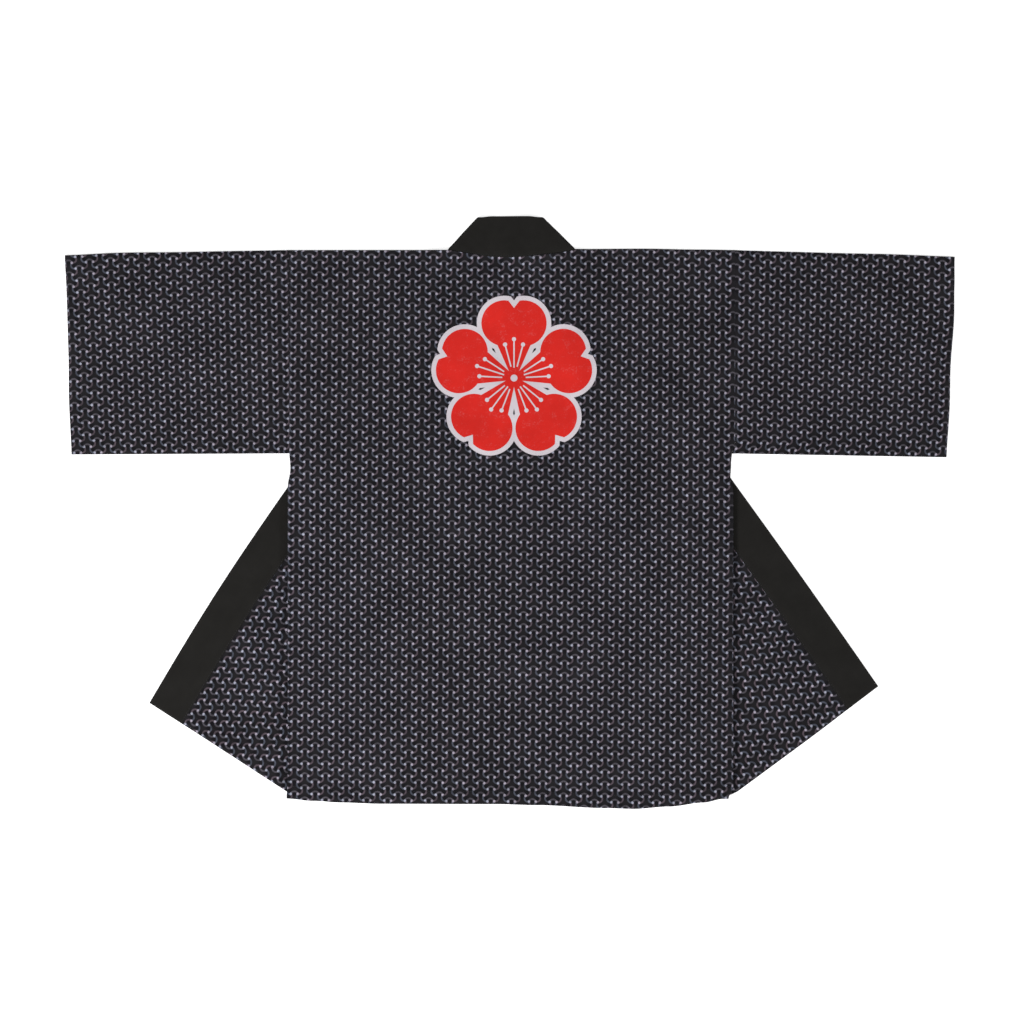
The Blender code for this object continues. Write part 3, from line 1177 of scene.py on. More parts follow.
class Net:
    """A flat net of a cloth in its own plan, which is cut and then laid out."""

    probe_reach = 0.012

    def __init__(self, columns: Sequence[float], rows: Sequence[float]) -> None:
        """Makes a net with a line at each column and row.

        Args:
            columns: Where its lines up are.
            rows: Where its lines across are.
        """
        self.mesh = bmesh.new()
        bmesh.ops.create_grid(
            self.mesh, x_segments=len(columns) - 1, y_segments=len(rows) - 1, size=0.5
        )
        for vert in self.mesh.verts:
            column = round((vert.co.x + 0.5) * (len(columns) - 1))
            row = round((vert.co.y + 0.5) * (len(rows) - 1))
            vert.co = (columns[column], rows[row], 0.0)

    def cut(self, place: Pair, normal: Pair, trim: bool = False) -> None:
        """Cuts the net along a line.

        Args:
            place: A point of the line.
            normal: The direction square to it.
            trim: Whether to drop what lies on the normal's side.
        """
        mesh = self.mesh
        bmesh.ops.bisect_plane(
            mesh,
            geom=[*mesh.verts, *mesh.edges, *mesh.faces],
            dist=1e-7,
            plane_co=(*place, 0.0),
            plane_no=(*normal, 0.0),
            clear_outer=trim,
        )

    def drop(self, unwanted: Callable[[float, float], bool]) -> None:
        """Deletes the faces whose middle is unwanted."""
        faces = [face for face in self.mesh.faces if unwanted(*face.calc_center_median().xy)]
        bmesh.ops.delete(self.mesh, geom=faces, context="FACES")

    def lay(
        self,
        place: Callable[[float, float], Placed],
        chart: Callable[[float, float], Pair],
        full_wall: float,
    ) -> None:
        """Lays the net out, and keeps the cloth's own map, its wall and its wear, which also makes
        folds lighter.

        Args:
            place: Where each point of the net goes.
            chart: Each point's place in the cloth's map.
            full_wall: The thickest wall, to which the walls are kept as shares.
        """
        charted = self.mesh.loops.layers.uv.new("cloth")
        walls = self.mesh.verts.layers.deform.new()
        wear = self.mesh.verts.layers.float.new("wear")
        seam = self.mesh.verts.layers.float.new("seam")
        for face in self.mesh.faces:
            for loop in face.loops:
                loop[charted].uv = chart(*loop.vert.co.xy)
        for vert in self.mesh.verts:
            placed = place(*vert.co.xy)
            vert.co = placed[:3]
            vert[walls][0] = placed.wall / full_wall
            vert[wear] = placed.wear
            vert[seam] = placed.seam

    def close(self) -> None:
        """Joins a tube's two long edges."""
        bmesh.ops.remove_doubles(self.mesh, verts=self.mesh.verts[:], dist=SAME_POINT)

    def face_out(self, probe: Pair) -> None:
        """Turns the net so that its top face at a place looks up.

        Args:
            probe: A place where only the top face should look up.
        """
        at = Vector((*probe, 0.0))
        middles = [(face.calc_center_median(), face) for face in self.mesh.faces]
        close = [
            (middle.z, face)
            for middle, face in middles
            if (middle.xy - at.xy).length < self.probe_reach
        ]
        self.mesh.normal_update()
        top = max(close, key=lambda item: item[0])[1]
        if top.normal.z < 0.0:
            bmesh.ops.reverse_faces(self.mesh, faces=self.mesh.faces[:])

    def shell(
        self, name: str, wall: float, outside: Material, inside: Material
    ) -> bpy.types.Object:
        """Turns the net into a cloth with a wall toward its inside.

        Args:
            name: The piece's name.
            wall: The thickest wall.
            outside: The material of the outer face.
            inside: The material of the inner face.

        Returns:
            The piece.
        """
        data = bpy.data.meshes.new(name)
        self.mesh.to_mesh(data)
        self.mesh.free()
        piece = bpy.data.objects.new(name, data)
        bpy.context.scene.collection.objects.link(piece)
        piece.vertex_groups.new(name="wall")
        for material in (outside, inside):
            data.materials.append(material)
        thicken = piece.modifiers.new("wall", "SOLIDIFY")
        thicken.thickness = wall
        thicken.offset = -1.0
        thicken.vertex_group = "wall"
        thicken.material_offset = 1
        apply_modifiers(piece)
        return piece


def only(piece: bpy.types.Object) -> None:
    """Leaves one object selected and active.

    Args:
        piece: The object.
    """
    bpy.ops.object.select_all(action="DESELECT")
    piece.select_set(True)
    bpy.context.view_layer.objects.active = piece


def apply_modifiers(piece: bpy.types.Object, angle: float = 40.0) -> None:
    """Applies a piece's modifiers and shades it smooth up to an angle in degrees.

    Args:
        piece: The piece.
        angle: The angle.
    """
    only(piece)
    for modifier in list(piece.modifiers):
        bpy.ops.object.modifier_apply(modifier=modifier.name)
    bpy.ops.object.shade_smooth_by_angle(angle=math.radians(angle))


def settle(
    piece: bpy.types.Object,
    slot: Slot,
    replaced: Sequence[str] = (),
) -> None:
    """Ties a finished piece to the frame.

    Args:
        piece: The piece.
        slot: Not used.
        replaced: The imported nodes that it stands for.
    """
    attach(piece, "root")
    if replaced:
        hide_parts(*replaced)
    piece.data.calc_loop_triangles()
    LOG.info("%s: %d triangles", piece.name, len(piece.data.loop_triangles))


class Run(NamedTuple):
    """A line that is stitched: its path by distance, its length, and which way is out."""

    path: Callable[[float], Vector]
    length: float
    out: float


@dataclass(frozen=True)
class Stitches:
    """Rows of machine stitches in black thread."""

    thread: Material
    stitch: float = 0.0027
    pitch: float = 0.0036
    width: float = 0.00045
    sides: int = 5
    ahead: float = 0.0004
    shade_angle: float = 80.0
    shape: tuple[tuple[float, float, float], ...] = (
        (0.0, 0.45, -0.5), (0.22, 1.0, 0.25), (0.78, 1.0, 0.25), (1.0, 0.45, -0.5)
    )

    def sew(self, name: str, runs: Sequence[Run]) -> bpy.types.Object:
        """Sews rows of stitches as one piece.

        Args:
            name: The piece's name.
            runs: The lines to sew.

        Returns:
            The piece.
        """
        mesh = bmesh.new()
        for run in runs:
            for number in range(int(run.length / self.pitch)):
                start = number * self.pitch + (self.pitch - self.stitch) / 2.0
                self.one(mesh, run, start)
        bmesh.ops.recalc_face_normals(mesh, faces=mesh.faces[:])
        data = bpy.data.meshes.new(name)
        mesh.to_mesh(data)
        mesh.free()
        piece = bpy.data.objects.new(name, data)
        bpy.context.scene.collection.objects.link(piece)
        data.materials.append(self.thread)
        apply_modifiers(piece, self.shade_angle)
        settle(piece, Slot.BLACK)
        return piece

    def one(self, mesh: bmesh.types.BMesh, run: Run, start: float) -> None:
        """Adds one stitch, a short thread that dives into the cloth at both ends.

        Args:
            mesh: The mesh that gets it.
            run: The line that it is on.
            start: Where on the line it starts.
        """
        rings = []
        up = Vector((0.0, 0.0, run.out))
        for share, thick, lift in self.shape:
            middle = run.path(start + self.stitch * share)
            ahead = (run.path(start + self.stitch * share + self.ahead) - middle).normalized()
            across = ahead.cross(up).normalized()
            middle = middle + up * (lift * self.width)
            ring = []
            for step in range(self.sides):
                angle = 2.0 * math.pi * step / self.sides
                around = across * math.cos(angle) + up * math.sin(angle)
                ring.append(mesh.verts.new(middle + around * (self.width * 0.5 * thick)))
            rings.append(ring)
        for low, high in zip(rings, rings[1:]):
            for step in range(self.sides):
                following = (step + 1) % self.sides
                mesh.faces.new((low[step], low[following], high[following], high[step]))
        mesh.faces.new(rings[0])
        mesh.faces.new(rings[-1])


PRINT_ORIGIN = (0.00576, -0.20050)
PRINT_TURN = 0.5


def charted(x: float, y: float, origin: Pair, turn: float) -> Pair:
    """A place in the print's chart.

    Args:
        x: The place's x on the cloth.
        y: The place's y on the cloth.
        origin: Where a motif of the print is centred.
        turn: How far the cloth is turned against the print, in degrees.

    Returns:
        The place in the chart's metres.
    """
    cos, sin = math.cos(math.radians(turn)), math.sin(math.radians(turn))
    x, y = x - origin[0], y - origin[1]
    return x * cos - y * sin, x * sin + y * cos


@dataclass
class BackPanel:
    """The back, one panel from hem to shoulder, laid over both fronts and on the floor between."""

    palette: Palette
    side_dip: float = 0.00035
    stitch_inset: float = 0.003

    def place(self, x: float, y: float) -> Placed:
        """Where a point of the flat panel goes.

        Args:
            x: The place's x.
            y: The place's y.

        Returns:
            The placed point.
        """
        side = LEFT if x < 0.0 else RIGHT
        edge = side.seam_x - side.sign * x
        over_hem = y - HEM_Y
        wall = hemmed(over_hem)
        z = under_back(x, y) + wall + seam_roll(edge, y) - self.side_dip * near(edge, EDGE_DIP)
        placed_x = side.sign * side.drawn(side.sign * x, y)
        near_hem = 1.0 - smooth(over_hem / HEM_EASE)
        near_neck = smooth((y - SHOULDER_Y + NECK_EASE) / NECK_EASE)
        placed_y = y - between(HEM_LINE, x) * near_hem - neck_scoop(x) * near_neck
        if neck_scoop(x) > 0.0:
            tucked = near(SHOULDER_Y - y, HEM_ROLL)
            placed_y += TUCK * tucked
            z += TUCK_RISE * tucked
        else:
            placed_y += top_rise(x, SHOULDER_Y - y)
        # Lighter along the storage folds and the top fold, carried in the wear share next to the
        # real wear at the hem and side edges
        lightened = max(
            STORAGE_LIGHTENING * fold_lightening(placed_x, placed_y), TOP_LIGHTENING * near(SHOULDER_Y - y, TOP_LIGHTENING_REACH)
        )
        wear = max(near(over_hem, HEM_WEAR), EDGE_FADE * near(edge, EDGE_WEAR), lightened)
        seam = max(near(edge, SEAM_PUCKER), near(over_hem, HEM_PUCKER))
        seam = max(seam, JOIN_DRAW * near(SHOULDER_Y - y, JOIN_PUCKER))
        lift = relief(placed_x, placed_y)
        z += lift - min(lift, HEM_DROP) * near(over_hem, HEM_ROLL)
        return Placed(placed_x, placed_y, z, wall, wear, seam)

    def chart(self, x: float, y: float) -> Pair:
        """A point's place in the print, which lies true where the panel is drawn and scooped."""
        placed = self.place(x, y)
        return charted(placed.x, placed.y - top_rise(x, SHOULDER_Y - y), PRINT_ORIGIN, PRINT_TURN)

    def build(self) -> bpy.types.Object:
        """Makes the panel and its hem stitches.

        Returns:
            The piece.
        """
        edges = [side.sign * (side.seam_x - at) for side in SIDES for at in EDGE_STATIONS]
        necks = [-LEFT.neck_x, RIGHT.neck_x]
        columns = stations(-LEFT.seam_x, RIGHT.seam_x, PITCH, [*edges, *necks])
        hems = [HEM_Y + at for at in HEM_STATIONS]
        tops = [SHOULDER_Y - at for at in EDGE_STATIONS]
        net = Net(columns, stations(HEM_Y, SHOULDER_Y, PITCH, [*hems, *tops]))
        net.lay(self.place, self.chart, HEM_WALL)
        net.face_out((0.0, 0.0))
        piece = net.shell("back_panel", HEM_WALL, self.palette.back, self.palette.back_inside)
        settle(piece, Slot.PRINTED, ["back"])
        start = -LEFT.seam_x + self.stitch_inset
        length = LEFT.seam_x + RIGHT.seam_x - 2.0 * self.stitch_inset
        row = Run(lambda at: Vector(self.place(start + at, HEM_Y + HEM_STITCH)[:3]), length, 1.0)
        stitches = Stitches(self.palette.thread).sew("hem_stitches_back", [row])
        return piece


@dataclass
class FrontPanel:
    """A front: its first layer under the back, the turn along its fold, and the part turned out."""

    palette: Palette
    side: Side
    lift: float = 0.00030
    spare: float = 0.025
    seam_cut: float = 0.0045
    stitch_insets: Pair = (0.001, 0.012)

    def place(self, x: float, y: float) -> Placed:
        """Where a point of the unturned front goes, in the side's own plan.

        Args:
            x: The place's x.
            y: The place's y.

        Returns:
            The placed point.
        """
        side = self.side
        over_hem = y - HEM_Y
        wall = hemmed(over_hem)
        inside = side.fold_distance(x, y)
        wear = near(over_hem, HEM_WEAR)
        seam = near(over_hem, HEM_PUCKER)
        if y > SHOULDER_Y:
            angle = math.pi * (y - SHOULDER_Y) / SHOULDER_TURN
            radius = (LAYER + WALL) / 2.0
            z = side.under_front(x, SHOULDER_Y) + radius * (1.0 - math.cos(angle))
            rise = top_rise(side.sign * x, 0.0)
            x, y = side.drawn(x, SHOULDER_Y), SHOULDER_Y + rise + radius * math.sin(angle)
            share = 1.0 - FOLD_RELIEF_SWING * (1.0 + math.cos(angle))
            z += relief(side.sign * x, SHOULDER_Y + rise) * share
            # The shoulder fold's turn is made lighter through the wear share
            return Placed(side.sign * x, y, z, wall, FOLD_LIGHTENING, FOLD_DRAW)
        if inside >= TURN_LENGTH:
            past_seam = side.unturned_edge_distance(x, y) + BAND_WIDTH
            tucked = near(-past_seam, TUCK_EASE)
            x, y = side.turned(*side.bowed(x, y))
            lift = relief(side.sign * x, y) * TURNED_RELIEF
            z = wall + TUCK_RISE * tucked + lift - min(lift, HEM_DROP) * near(over_hem, HEM_ROLL)
            seam = max(seam, near(-past_seam, JOIN_PUCKER))
            return Placed(side.sign * x, y, z, wall, wear, seam)
        across, up = side.fold_normal
        crest = x - across * max(inside, 0.0), y - up * max(inside, 0.0)
        high = side.under_front(*crest)
        if inside <= 0.0:
            edge = side.seam_x - x
            z = high + seam_roll(edge, y) + self.lift * near(edge, EDGE_DIP)
            x, y = side.drawn(x, y), y + top_rise(side.sign * x, SHOULDER_Y - y)
            z += relief(side.sign * x, y) * FRONT_RELIEF
            return Placed(side.sign * x, y, z, wall, wear, seam)
        radius = (high - wall) / 2.0
        angle = math.pi * inside / TURN_LENGTH
        out = radius * math.sin(angle)
        x, y = crest[0] + across * out, crest[1] + up * out
        z = high - radius + radius * math.cos(angle)
        z += relief(side.sign * x, y) * (FOLD_RELIEF + FOLD_RELIEF_SWING * math.cos(angle))
        return Placed(side.sign * x, y, z, wall, wear, seam)

    def off_front(self, x: float, y: float) -> bool:
        """Whether a point of the unturned plan is past the band's seam or past the neck point.

        Args:
            x: The place's x.
            y: The place's y.

        Returns:
            Whether it is off the piece.
        """
        if self.side.fold_distance(x, y) > 0.0:
            return self.side.unturned_edge_distance(x, y) > -BAND_WIDTH + TUCK
        return x < self.side.neck_x

    def build(self) -> bpy.types.Object:
        """Makes the panel and its hem stitches.

        Returns:
            The piece.
        """
        side = self.side
        low = side.edge_x + BAND_WIDTH - self.spare
        edges = [side.seam_x - at for at in EDGE_STATIONS]
        hems = [HEM_Y + at for at in HEM_STATIONS]
        rows = stations(HEM_Y, SHOULDER_Y, PITCH, hems)
        rows += [SHOULDER_Y + SHOULDER_TURN * (step + 1) / TURN_STEPS for step in range(TURN_STEPS)]
        net = Net(stations(low, side.seam_x, PITCH, [*edges, side.neck_x]), rows)
        foot, normal = (side.foot_x, HEM_Y), side.fold_normal
        for step in range(-1, TURN_STEPS + 2):
            at = TURN_LENGTH * step / TURN_STEPS
            net.cut((foot[0] + normal[0] * at, foot[1] + normal[1] * at), normal)
        across, up = side.edge_normal
        for past in (-TUCK, 0.0, TUCK_EASE, self.seam_cut):
            inner = BAND_WIDTH + past
            net.cut((side.edge_x - across * inner, HEM_Y - up * inner), side.edge_normal)
        net.drop(self.off_front)
        middle = 2.0 * SHOULDER_Y + SHOULDER_TURN
        net.lay(
            self.place,
            lambda x, y: charted(side.sign * x, middle - y, PRINT_ORIGIN, PRINT_TURN),
            HEM_WALL,
        )
        net.face_out((side.sign * 0.38, -0.25))
        name = f"front_panel_{side.name}"
        piece = net.shell(name, HEM_WALL, self.palette.printed, self.palette.printed_inside)
        settle(piece, Slot.PRINTED, [f"front_{side.name}"])
        start = side.edge_x + BAND_WIDTH + self.stitch_insets[0]
        length = side.foot_x - start - self.stitch_insets[1]
        row = Run(lambda at: Vector(self.place(start + at, HEM_Y + HEM_STITCH)[:3]), length, 1.0)
        stitches = Stitches(self.palette.thread).sew(f"hem_stitches_front_{side.name}", [row])
        return piece


@dataclass
class Sleeve:
    """A straight sleeve: a flat tube, folded along its top, sewn along its foot and hemmed."""

    palette: Palette
    side: Side
    root_foot_y: float
    cuff_top: Pair
    cuff_foot: Pair
    cuff_line: tuple[Pair, ...]
    print_origin: Pair
    print_turn: float
    depth: float = 0.2900
    length: float = 0.3180
    radius: float = (LAYER + WALL) / 2.0
    dip: float = 0.00035
    gape: float = 0.0022
    groove: float = 0.00034
    groove_reach: float = 0.0026
    root_gap: float = 0.0001
    cuff_ease: float = 0.120
    gape_ease: float = 0.060
    gape_waver: float = 0.2
    flat_turn: float = 0.99
    stitch_inset: float = 0.004

    @property
    def arc(self) -> float:
        """The length of the turn at each edge."""
        return math.pi * self.radius

    def place(self, out: float, way: float) -> Placed:
        """Where a point of the flat sleeve goes: bottom wall, top fold, top wall, then the foot.

        Args:
            out: The distance from the armhole.
            way: The distance round the tube from its foot.

        Returns:
            The placed point.
        """
        side = self.side
        share = out / self.length
        top_y = SHOULDER_Y + self.radius
        foot_y = self.root_foot_y + (self.cuff_foot[1] - self.root_foot_y) * share + self.radius
        high_y = top_y + (self.cuff_top[1] - top_y) * share - self.radius
        on_top = way > self.depth + self.arc
        way_in_half = way - self.depth - self.arc if on_top else way
        up = min(way_in_half / self.depth, 1.0)
        angle = math.pi * max(way_in_half - self.depth, 0.0) / self.arc
        if on_top:
            up, angle = 1.0 - up, -angle
        edge_x = self.cuff_foot[0] + (self.cuff_top[0] - self.cuff_foot[0]) * up
        turn = math.cos(angle) if on_top else -math.cos(angle)
        root, cuff = out, self.length - out
        y = foot_y + (high_y - foot_y) * up + self.radius * math.sin(angle)
        root_x = between(side.side_line, y) + self.root_gap
        x = side.sign * (root_x + (edge_x - root_x) * share)
        y += top_rise(x, (1.0 - up) * self.depth)
        x += side.sign * between(self.cuff_line, up) * near(cuff, self.cuff_ease)
        z = self.radius * (1.0 + turn) - turn * self.dip * near(root, EDGE_DIP)
        inner = math.sin(math.pi * up)
        opened = self.gape * near(cuff, self.gape_ease) * inner * inner
        opened *= 1.0 - self.gape_waver + self.gape_waver * math.sin(9.0 * up + side.sign)
        opened = opened if turn > self.flat_turn else 0.0
        z += relief(x, y) * (TUBE_RELIEF + TUBE_RELIEF_SWING * turn) + opened
        z -= self.groove * turn * near(abs(cuff - HEM_STITCH), self.groove_reach)
        wall = hemmed(cuff)
        fold = 0.0
        # The sleeve's folds are made lighter through the wear share
        if abs(turn) < self.flat_turn:
            fold = FOLD_LIGHTENING * near(self.radius * (1.0 - abs(turn)), self.radius)
        wear = max(near(cuff, HEM_WEAR), fold)
        return Placed(x, y, z, wall, wear, max(near(root, SEAM_PUCKER), near(cuff, HEM_PUCKER)))

    def chart(self, out: float, way: float) -> Pair:
        """A point's place in the print, which runs on over the sleeve's top fold.

        Args:
            out: The distance from the armhole.
            way: The distance round the tube from its foot.

        Returns:
            The place in the chart's metres.
        """
        x = self.side.sign * (self.side.side_line[-1][1] + out)
        y = self.root_foot_y + self.radius + 2.0 * self.depth + self.arc - way
        return charted(x, y, self.print_origin, self.print_turn)

    def build(self) -> bpy.types.Object:
        """Makes the sleeve and its cuff stitches.

        Returns:
            The piece.
        """
        cuffs = (0.0006, 0.0016, 0.0030, 0.0156, 0.0168, HEM_STITCH, 0.0192, HEM_DEPTH + 0.0006)
        outs = [*EDGE_STATIONS, *(self.length - at for at in cuffs)]
        flat = stations(0.0, self.depth, PITCH)
        turn = [self.depth + self.arc * (step + 1) / TURN_STEPS for step in range(TURN_STEPS)]
        half = flat + turn
        ways = half + [self.depth + self.arc + at for at in half[1:]]
        net = Net(stations(0.0, self.length, PITCH, outs), ways)
        net.lay(self.place, self.chart, HEM_WALL)
        net.close()
        net.face_out((self.side.sign * 0.45, 0.25))
        name = f"sleeve_cloth_{self.side.name}"
        piece = net.shell(name, HEM_WALL, self.palette.printed, self.palette.printed_inside)
        settle(piece, Slot.PRINTED, [f"sleeve_{self.side.name}"])
        at_stitch = self.length - HEM_STITCH
        low = self.stitch_inset
        top, length = self.depth + self.arc + low, self.depth - 2.0 * low
        rows = [
            Run(lambda at: Vector(self.place(at_stitch, top + at)[:3]), length, 1.0),
            Run(lambda at: Vector(self.place(at_stitch, low + at)[:3]), length, -1.0),
        ]
        stitches = Stitches(self.palette.thread).sew(f"cuff_stitches_{self.side.name}", rows)
        return piece


# The collar band's section: its flat stretch's stations, its stitching and its fullness
BAND_FLATS = (
    0.0016, 0.0022, 0.0030, 0.0050, 0.0100, 0.0170, 0.0250, 0.0330, 0.0410, 0.0480,
    BAND_WIDTH - 0.0030,
)
BAND_STITCH = 0.0022
BAND_GROOVE = 0.00045
BAND_GROOVE_WIDTH = 0.0011
BAND_FULLNESS = 0.00025


def band_section(edge_steps: int = 5) -> list[tuple[float, float, float]]:
    """The collar band's section, round it from the seam over the top and back under.

    Args:
        edge_steps: The steps round each long edge.

    Returns:
        For each point, how far it is round the section, across from the seam and above the middle.
    """
    half = BAND / 2.0
    flats = [half, *BAND_FLATS, BAND_WIDTH - half]
    turns = [math.pi * step / edge_steps for step in range(1, edge_steps + 1)]
    swings = [(half * math.sin(turn), half * math.cos(turn)) for turn in turns]
    points = [(across, half) for across in flats]
    points += [(BAND_WIDTH - half + out, up) for out, up in swings[:-1]]
    points += [(across, -half) for across in reversed(flats)]
    points += [(half - out, -up) for out, up in swings]
    rounds, last = 0.0, points[0]
    section = []
    for point in points:
        rounds += math.dist(point, last)
        section.append((rounds, *point))
        last = point
    return section


SECTION = band_section()


def section_at(rounds: float) -> Pair:
    """How far across and how high the section's point nearest to a distance round it is."""
    return min(SECTION, key=lambda point: abs(point[0] - rounds))[1:]


def band_height(across: float, height: float) -> float:
    """The band's height above its middle, drawn in along its stitching and soft between.

    Args:
        across: The distance from the seam.
        height: The section's height above the middle.

    Returns:
        The height with the stitching's groove and the cloth's fullness.
    """
    groove = BAND_GROOVE * math.exp(-(((across - BAND_STITCH) / BAND_GROOVE_WIDTH) ** 2))
    full = BAND_FULLNESS * math.sin(math.pi * min(max(across / BAND_WIDTH, 0.0), 1.0))
    return height + full - groove if height > 0.0 else height


@dataclass
class FrontBand:
    """The collar band along a front, from the hem up under the neck: a strip folded double."""

    palette: Palette
    side: Side
    pinch: float = 0.55
    pinch_reach: float = 0.0016
    wave: float = 0.00012
    stitch_inset: float = 0.004
    stitch_length: float = 0.700

    def place(self, along: float, rounds: float) -> Placed:
        """Where a point of the flat strip goes: along the band from the hem, and round it.

        Args:
            along: The distance from the hem.
            rounds: The distance round the section.

        Returns:
            The placed point.
        """
        side = self.side
        across, height = section_at(rounds)
        squeeze = 1.0 - self.pinch * near(along, self.pinch_reach)
        tilt = math.tan(math.radians(side.edge_tilt))
        inner = BAND_WIDTH - across
        x, y = side.edge_x - along * tilt + inner, HEM_Y + along
        x, y = side.turned(*side.bowed(x, y))
        soft = self.wave * math.sin(along * 83.0 + across * 90.0)
        z = BAND / 2.0 + (band_height(across, height) + (soft if height > 0.0 else 0.0)) * squeeze
        share = 1.0 if height > -BAND / 4.0 else BAND_FOOT_RELIEF
        z += relief(side.sign * x, y) * TURNED_RELIEF * share
        wear = max(near(BAND_WIDTH - across, BAND_WEAR), near(along, BAND_WEAR))
        return Placed(side.sign * x, y, z, BAND_WALL, wear, near(across, BAND_PUCKER))

    def build(self) -> bpy.types.Object:
        """Makes the band and its edge stitches.

        Returns:
            The piece.
        """
        side = self.side
        top = SHOULDER_Y + BAND_WIDTH - HEM_Y
        net = Net(stations(0.0, top, PITCH, (0.0006, 0.0016, 0.0030)), [row[0] for row in SECTION])
        net.lay(self.place, lambda along, rounds: (rounds, along), BAND_WALL)
        net.close()
        for place, normal in self.ends():
            net.cut((side.sign * place[0], place[1]), (side.sign * normal[0], normal[1]), trim=True)
        hem = [edge for edge in net.mesh.edges if edge.is_boundary and self.at_hem(edge)]
        bmesh.ops.contextual_create(net.mesh, geom=hem)
        net.face_out((side.sign * (0.45 if side is LEFT else 0.46), -0.25))
        black = self.palette.black
        piece = net.shell(f"collar_band_{side.name}", BAND_WALL, black, black)
        settle(piece, Slot.BLACK, [f"collar_{side.name}"])
        along = SECTION[2][0]
        start, length = self.stitch_inset, self.stitch_length
        row = Run(lambda at: Vector(self.place(start + at, along)[:3]), length, 1.0)
        stitches = Stitches(self.palette.thread).sew(f"band_stitches_{side.name}", [row])
        return piece

    def at_hem(self, edge: bmesh.types.BMEdge) -> bool:
        """Whether an open edge of the band is at its hem end."""
        middle = (edge.verts[0].co + edge.verts[1].co) / 2.0
        return middle.y < 0.0

    def ends(self) -> list[tuple[Pair, Pair]]:
        """The lines that end the band at its fold and at the neck, each with what it drops.

        Returns:
            A point of each line and the direction that is dropped.
        """
        side = self.side
        across, up = side.fold_normal
        fold = side.foot_x - across * GAP, HEM_Y - up * GAP
        neck, _, normal = side.collar_end()
        inner = neck[0] - normal[0] * NECK_WRAP, neck[1] - normal[1] * NECK_WRAP
        return [
            (fold, (across, up)),
            (inner, normal),
            ((0.0, COLLAR_TOP_Y - GAP), (0.0, 1.0)),
        ]


@dataclass
class NeckBand:
    """The collar band along the back of the neck, standing up flat, its ends folded under."""

    palette: Palette
    turn: float = math.pi * 0.00135
    end: float = 0.0120
    corner_drop: float = 0.0014
    corner_ease: float = 0.0180
    wave: float = 0.0001
    least_radius: float = 0.00125
    stitch_inset: float = 0.006

    def place(self, x: float, rounds: float) -> Placed:
        """Where a point of the flat strip goes: across the neck, and round the band.

        Args:
            x: The place's x.
            rounds: The distance round the section.

        Returns:
            The placed point.
        """
        across, height = section_at(rounds)
        side = LEFT if x < 0.0 else RIGHT
        reach = COLLAR_TOP_Y - SHOULDER_Y
        scoop = neck_scoop(x)
        up = across / BAND_WIDTH
        y = SHOULDER_Y + up * reach
        corner = smooth((abs(x) - side.collar_top_x + self.corner_ease) / self.corner_ease)
        rise = COLLAR_TOP_RISE * scoop / NECK_SCOOP - self.corner_drop * corner
        place_y = y + rise * up - scoop * (1.0 - up)
        soft = self.wave * math.sin(x * 90.0) if height > 0.0 else 0.0
        level = band_height(across, height) + soft
        neck, _, normal = side.collar_end(GAP)
        plan = side.sign * x
        past = (plan - neck[0]) * normal[0] + (place_y - neck[1]) * normal[1]
        half = BAND / 2.0
        wear = max(near(BAND_WIDTH - across, BAND_WEAR), END_FADE * near(abs(past), END_WEAR))
        seam = near(across, BAND_PUCKER)
        under = under_collar(x, place_y)
        if past <= 0.0:
            z = under + half + level + relief(x, place_y)
            return Placed(x, place_y, z, BAND_WALL, wear, seam)
        crest = plan - normal[0] * past, place_y - normal[1] * past
        under = under_collar(side.sign * crest[0], crest[1])
        radius = max(under / 2.0, self.least_radius)
        angle = math.pi * min(past / self.turn, 1.0)
        out = (radius + level) * math.sin(angle) - max(past - self.turn, 0.0)
        z = under / 2.0 + half + (radius + level) * math.cos(angle)
        placed = crest[0] + normal[0] * out, crest[1] + normal[1] * out
        share = TUBE_RELIEF + TUBE_RELIEF_SWING * math.cos(angle)
        z += relief(side.sign * crest[0], crest[1]) * share
        return Placed(side.sign * placed[0], placed[1], max(z, 0.0), BAND_WALL, wear, seam)

    def build(self) -> bpy.types.Object:
        """Makes the band and its edge stitches.

        Returns:
            The piece.
        """
        low, high = -LEFT.neck_x - self.end, RIGHT.neck_x + self.end
        net = Net(stations(low, high, NECK_PITCH), [row[0] for row in SECTION])
        self.shape_ends(net, self.turn + NECK_WRAP)
        net.lay(self.place, lambda x, rounds: (rounds, x), BAND_WALL)
        net.close()
        net.face_out((0.0, 0.40))
        black = self.palette.black
        piece = net.shell("collar_band_neck", BAND_WALL, black, black)
        settle(piece, Slot.BLACK, ["collar_neck"])
        along = SECTION[2][0]
        start = -LEFT.neck_x + self.stitch_inset
        length = LEFT.neck_x + RIGHT.neck_x - 2.0 * self.stitch_inset
        row = Run(lambda at: Vector(self.place(start + at, along)[:3]), length, 1.0)
        stitches = Stitches(self.palette.thread).sew("band_stitches_neck", [row])
        return piece

    def shape_ends(self, net: Net, past_fold: float) -> None:
        """Slants the flat strip's ends so that each ends a set way past its fold.

        Args:
            net: The flat strip, with x across the neck and y round the band.
            past_fold: How far past the fold line the strip runs.
        """
        low, high = -LEFT.neck_x - self.end, RIGHT.neck_x + self.end
        for vert in net.mesh.verts:
            up = section_at(vert.co.y)[0] / BAND_WIDTH
            ends = []
            for side in SIDES:
                foot, run, _ = side.collar_end(GAP)
                stretch = past_fold * math.hypot(*run) / run[1]
                ends.append(side.sign * (foot[0] + run[0] * up + stretch))
            share = (vert.co.x - low) / (high - low)
            vert.co.x = ends[0] + (ends[1] - ends[0]) * share


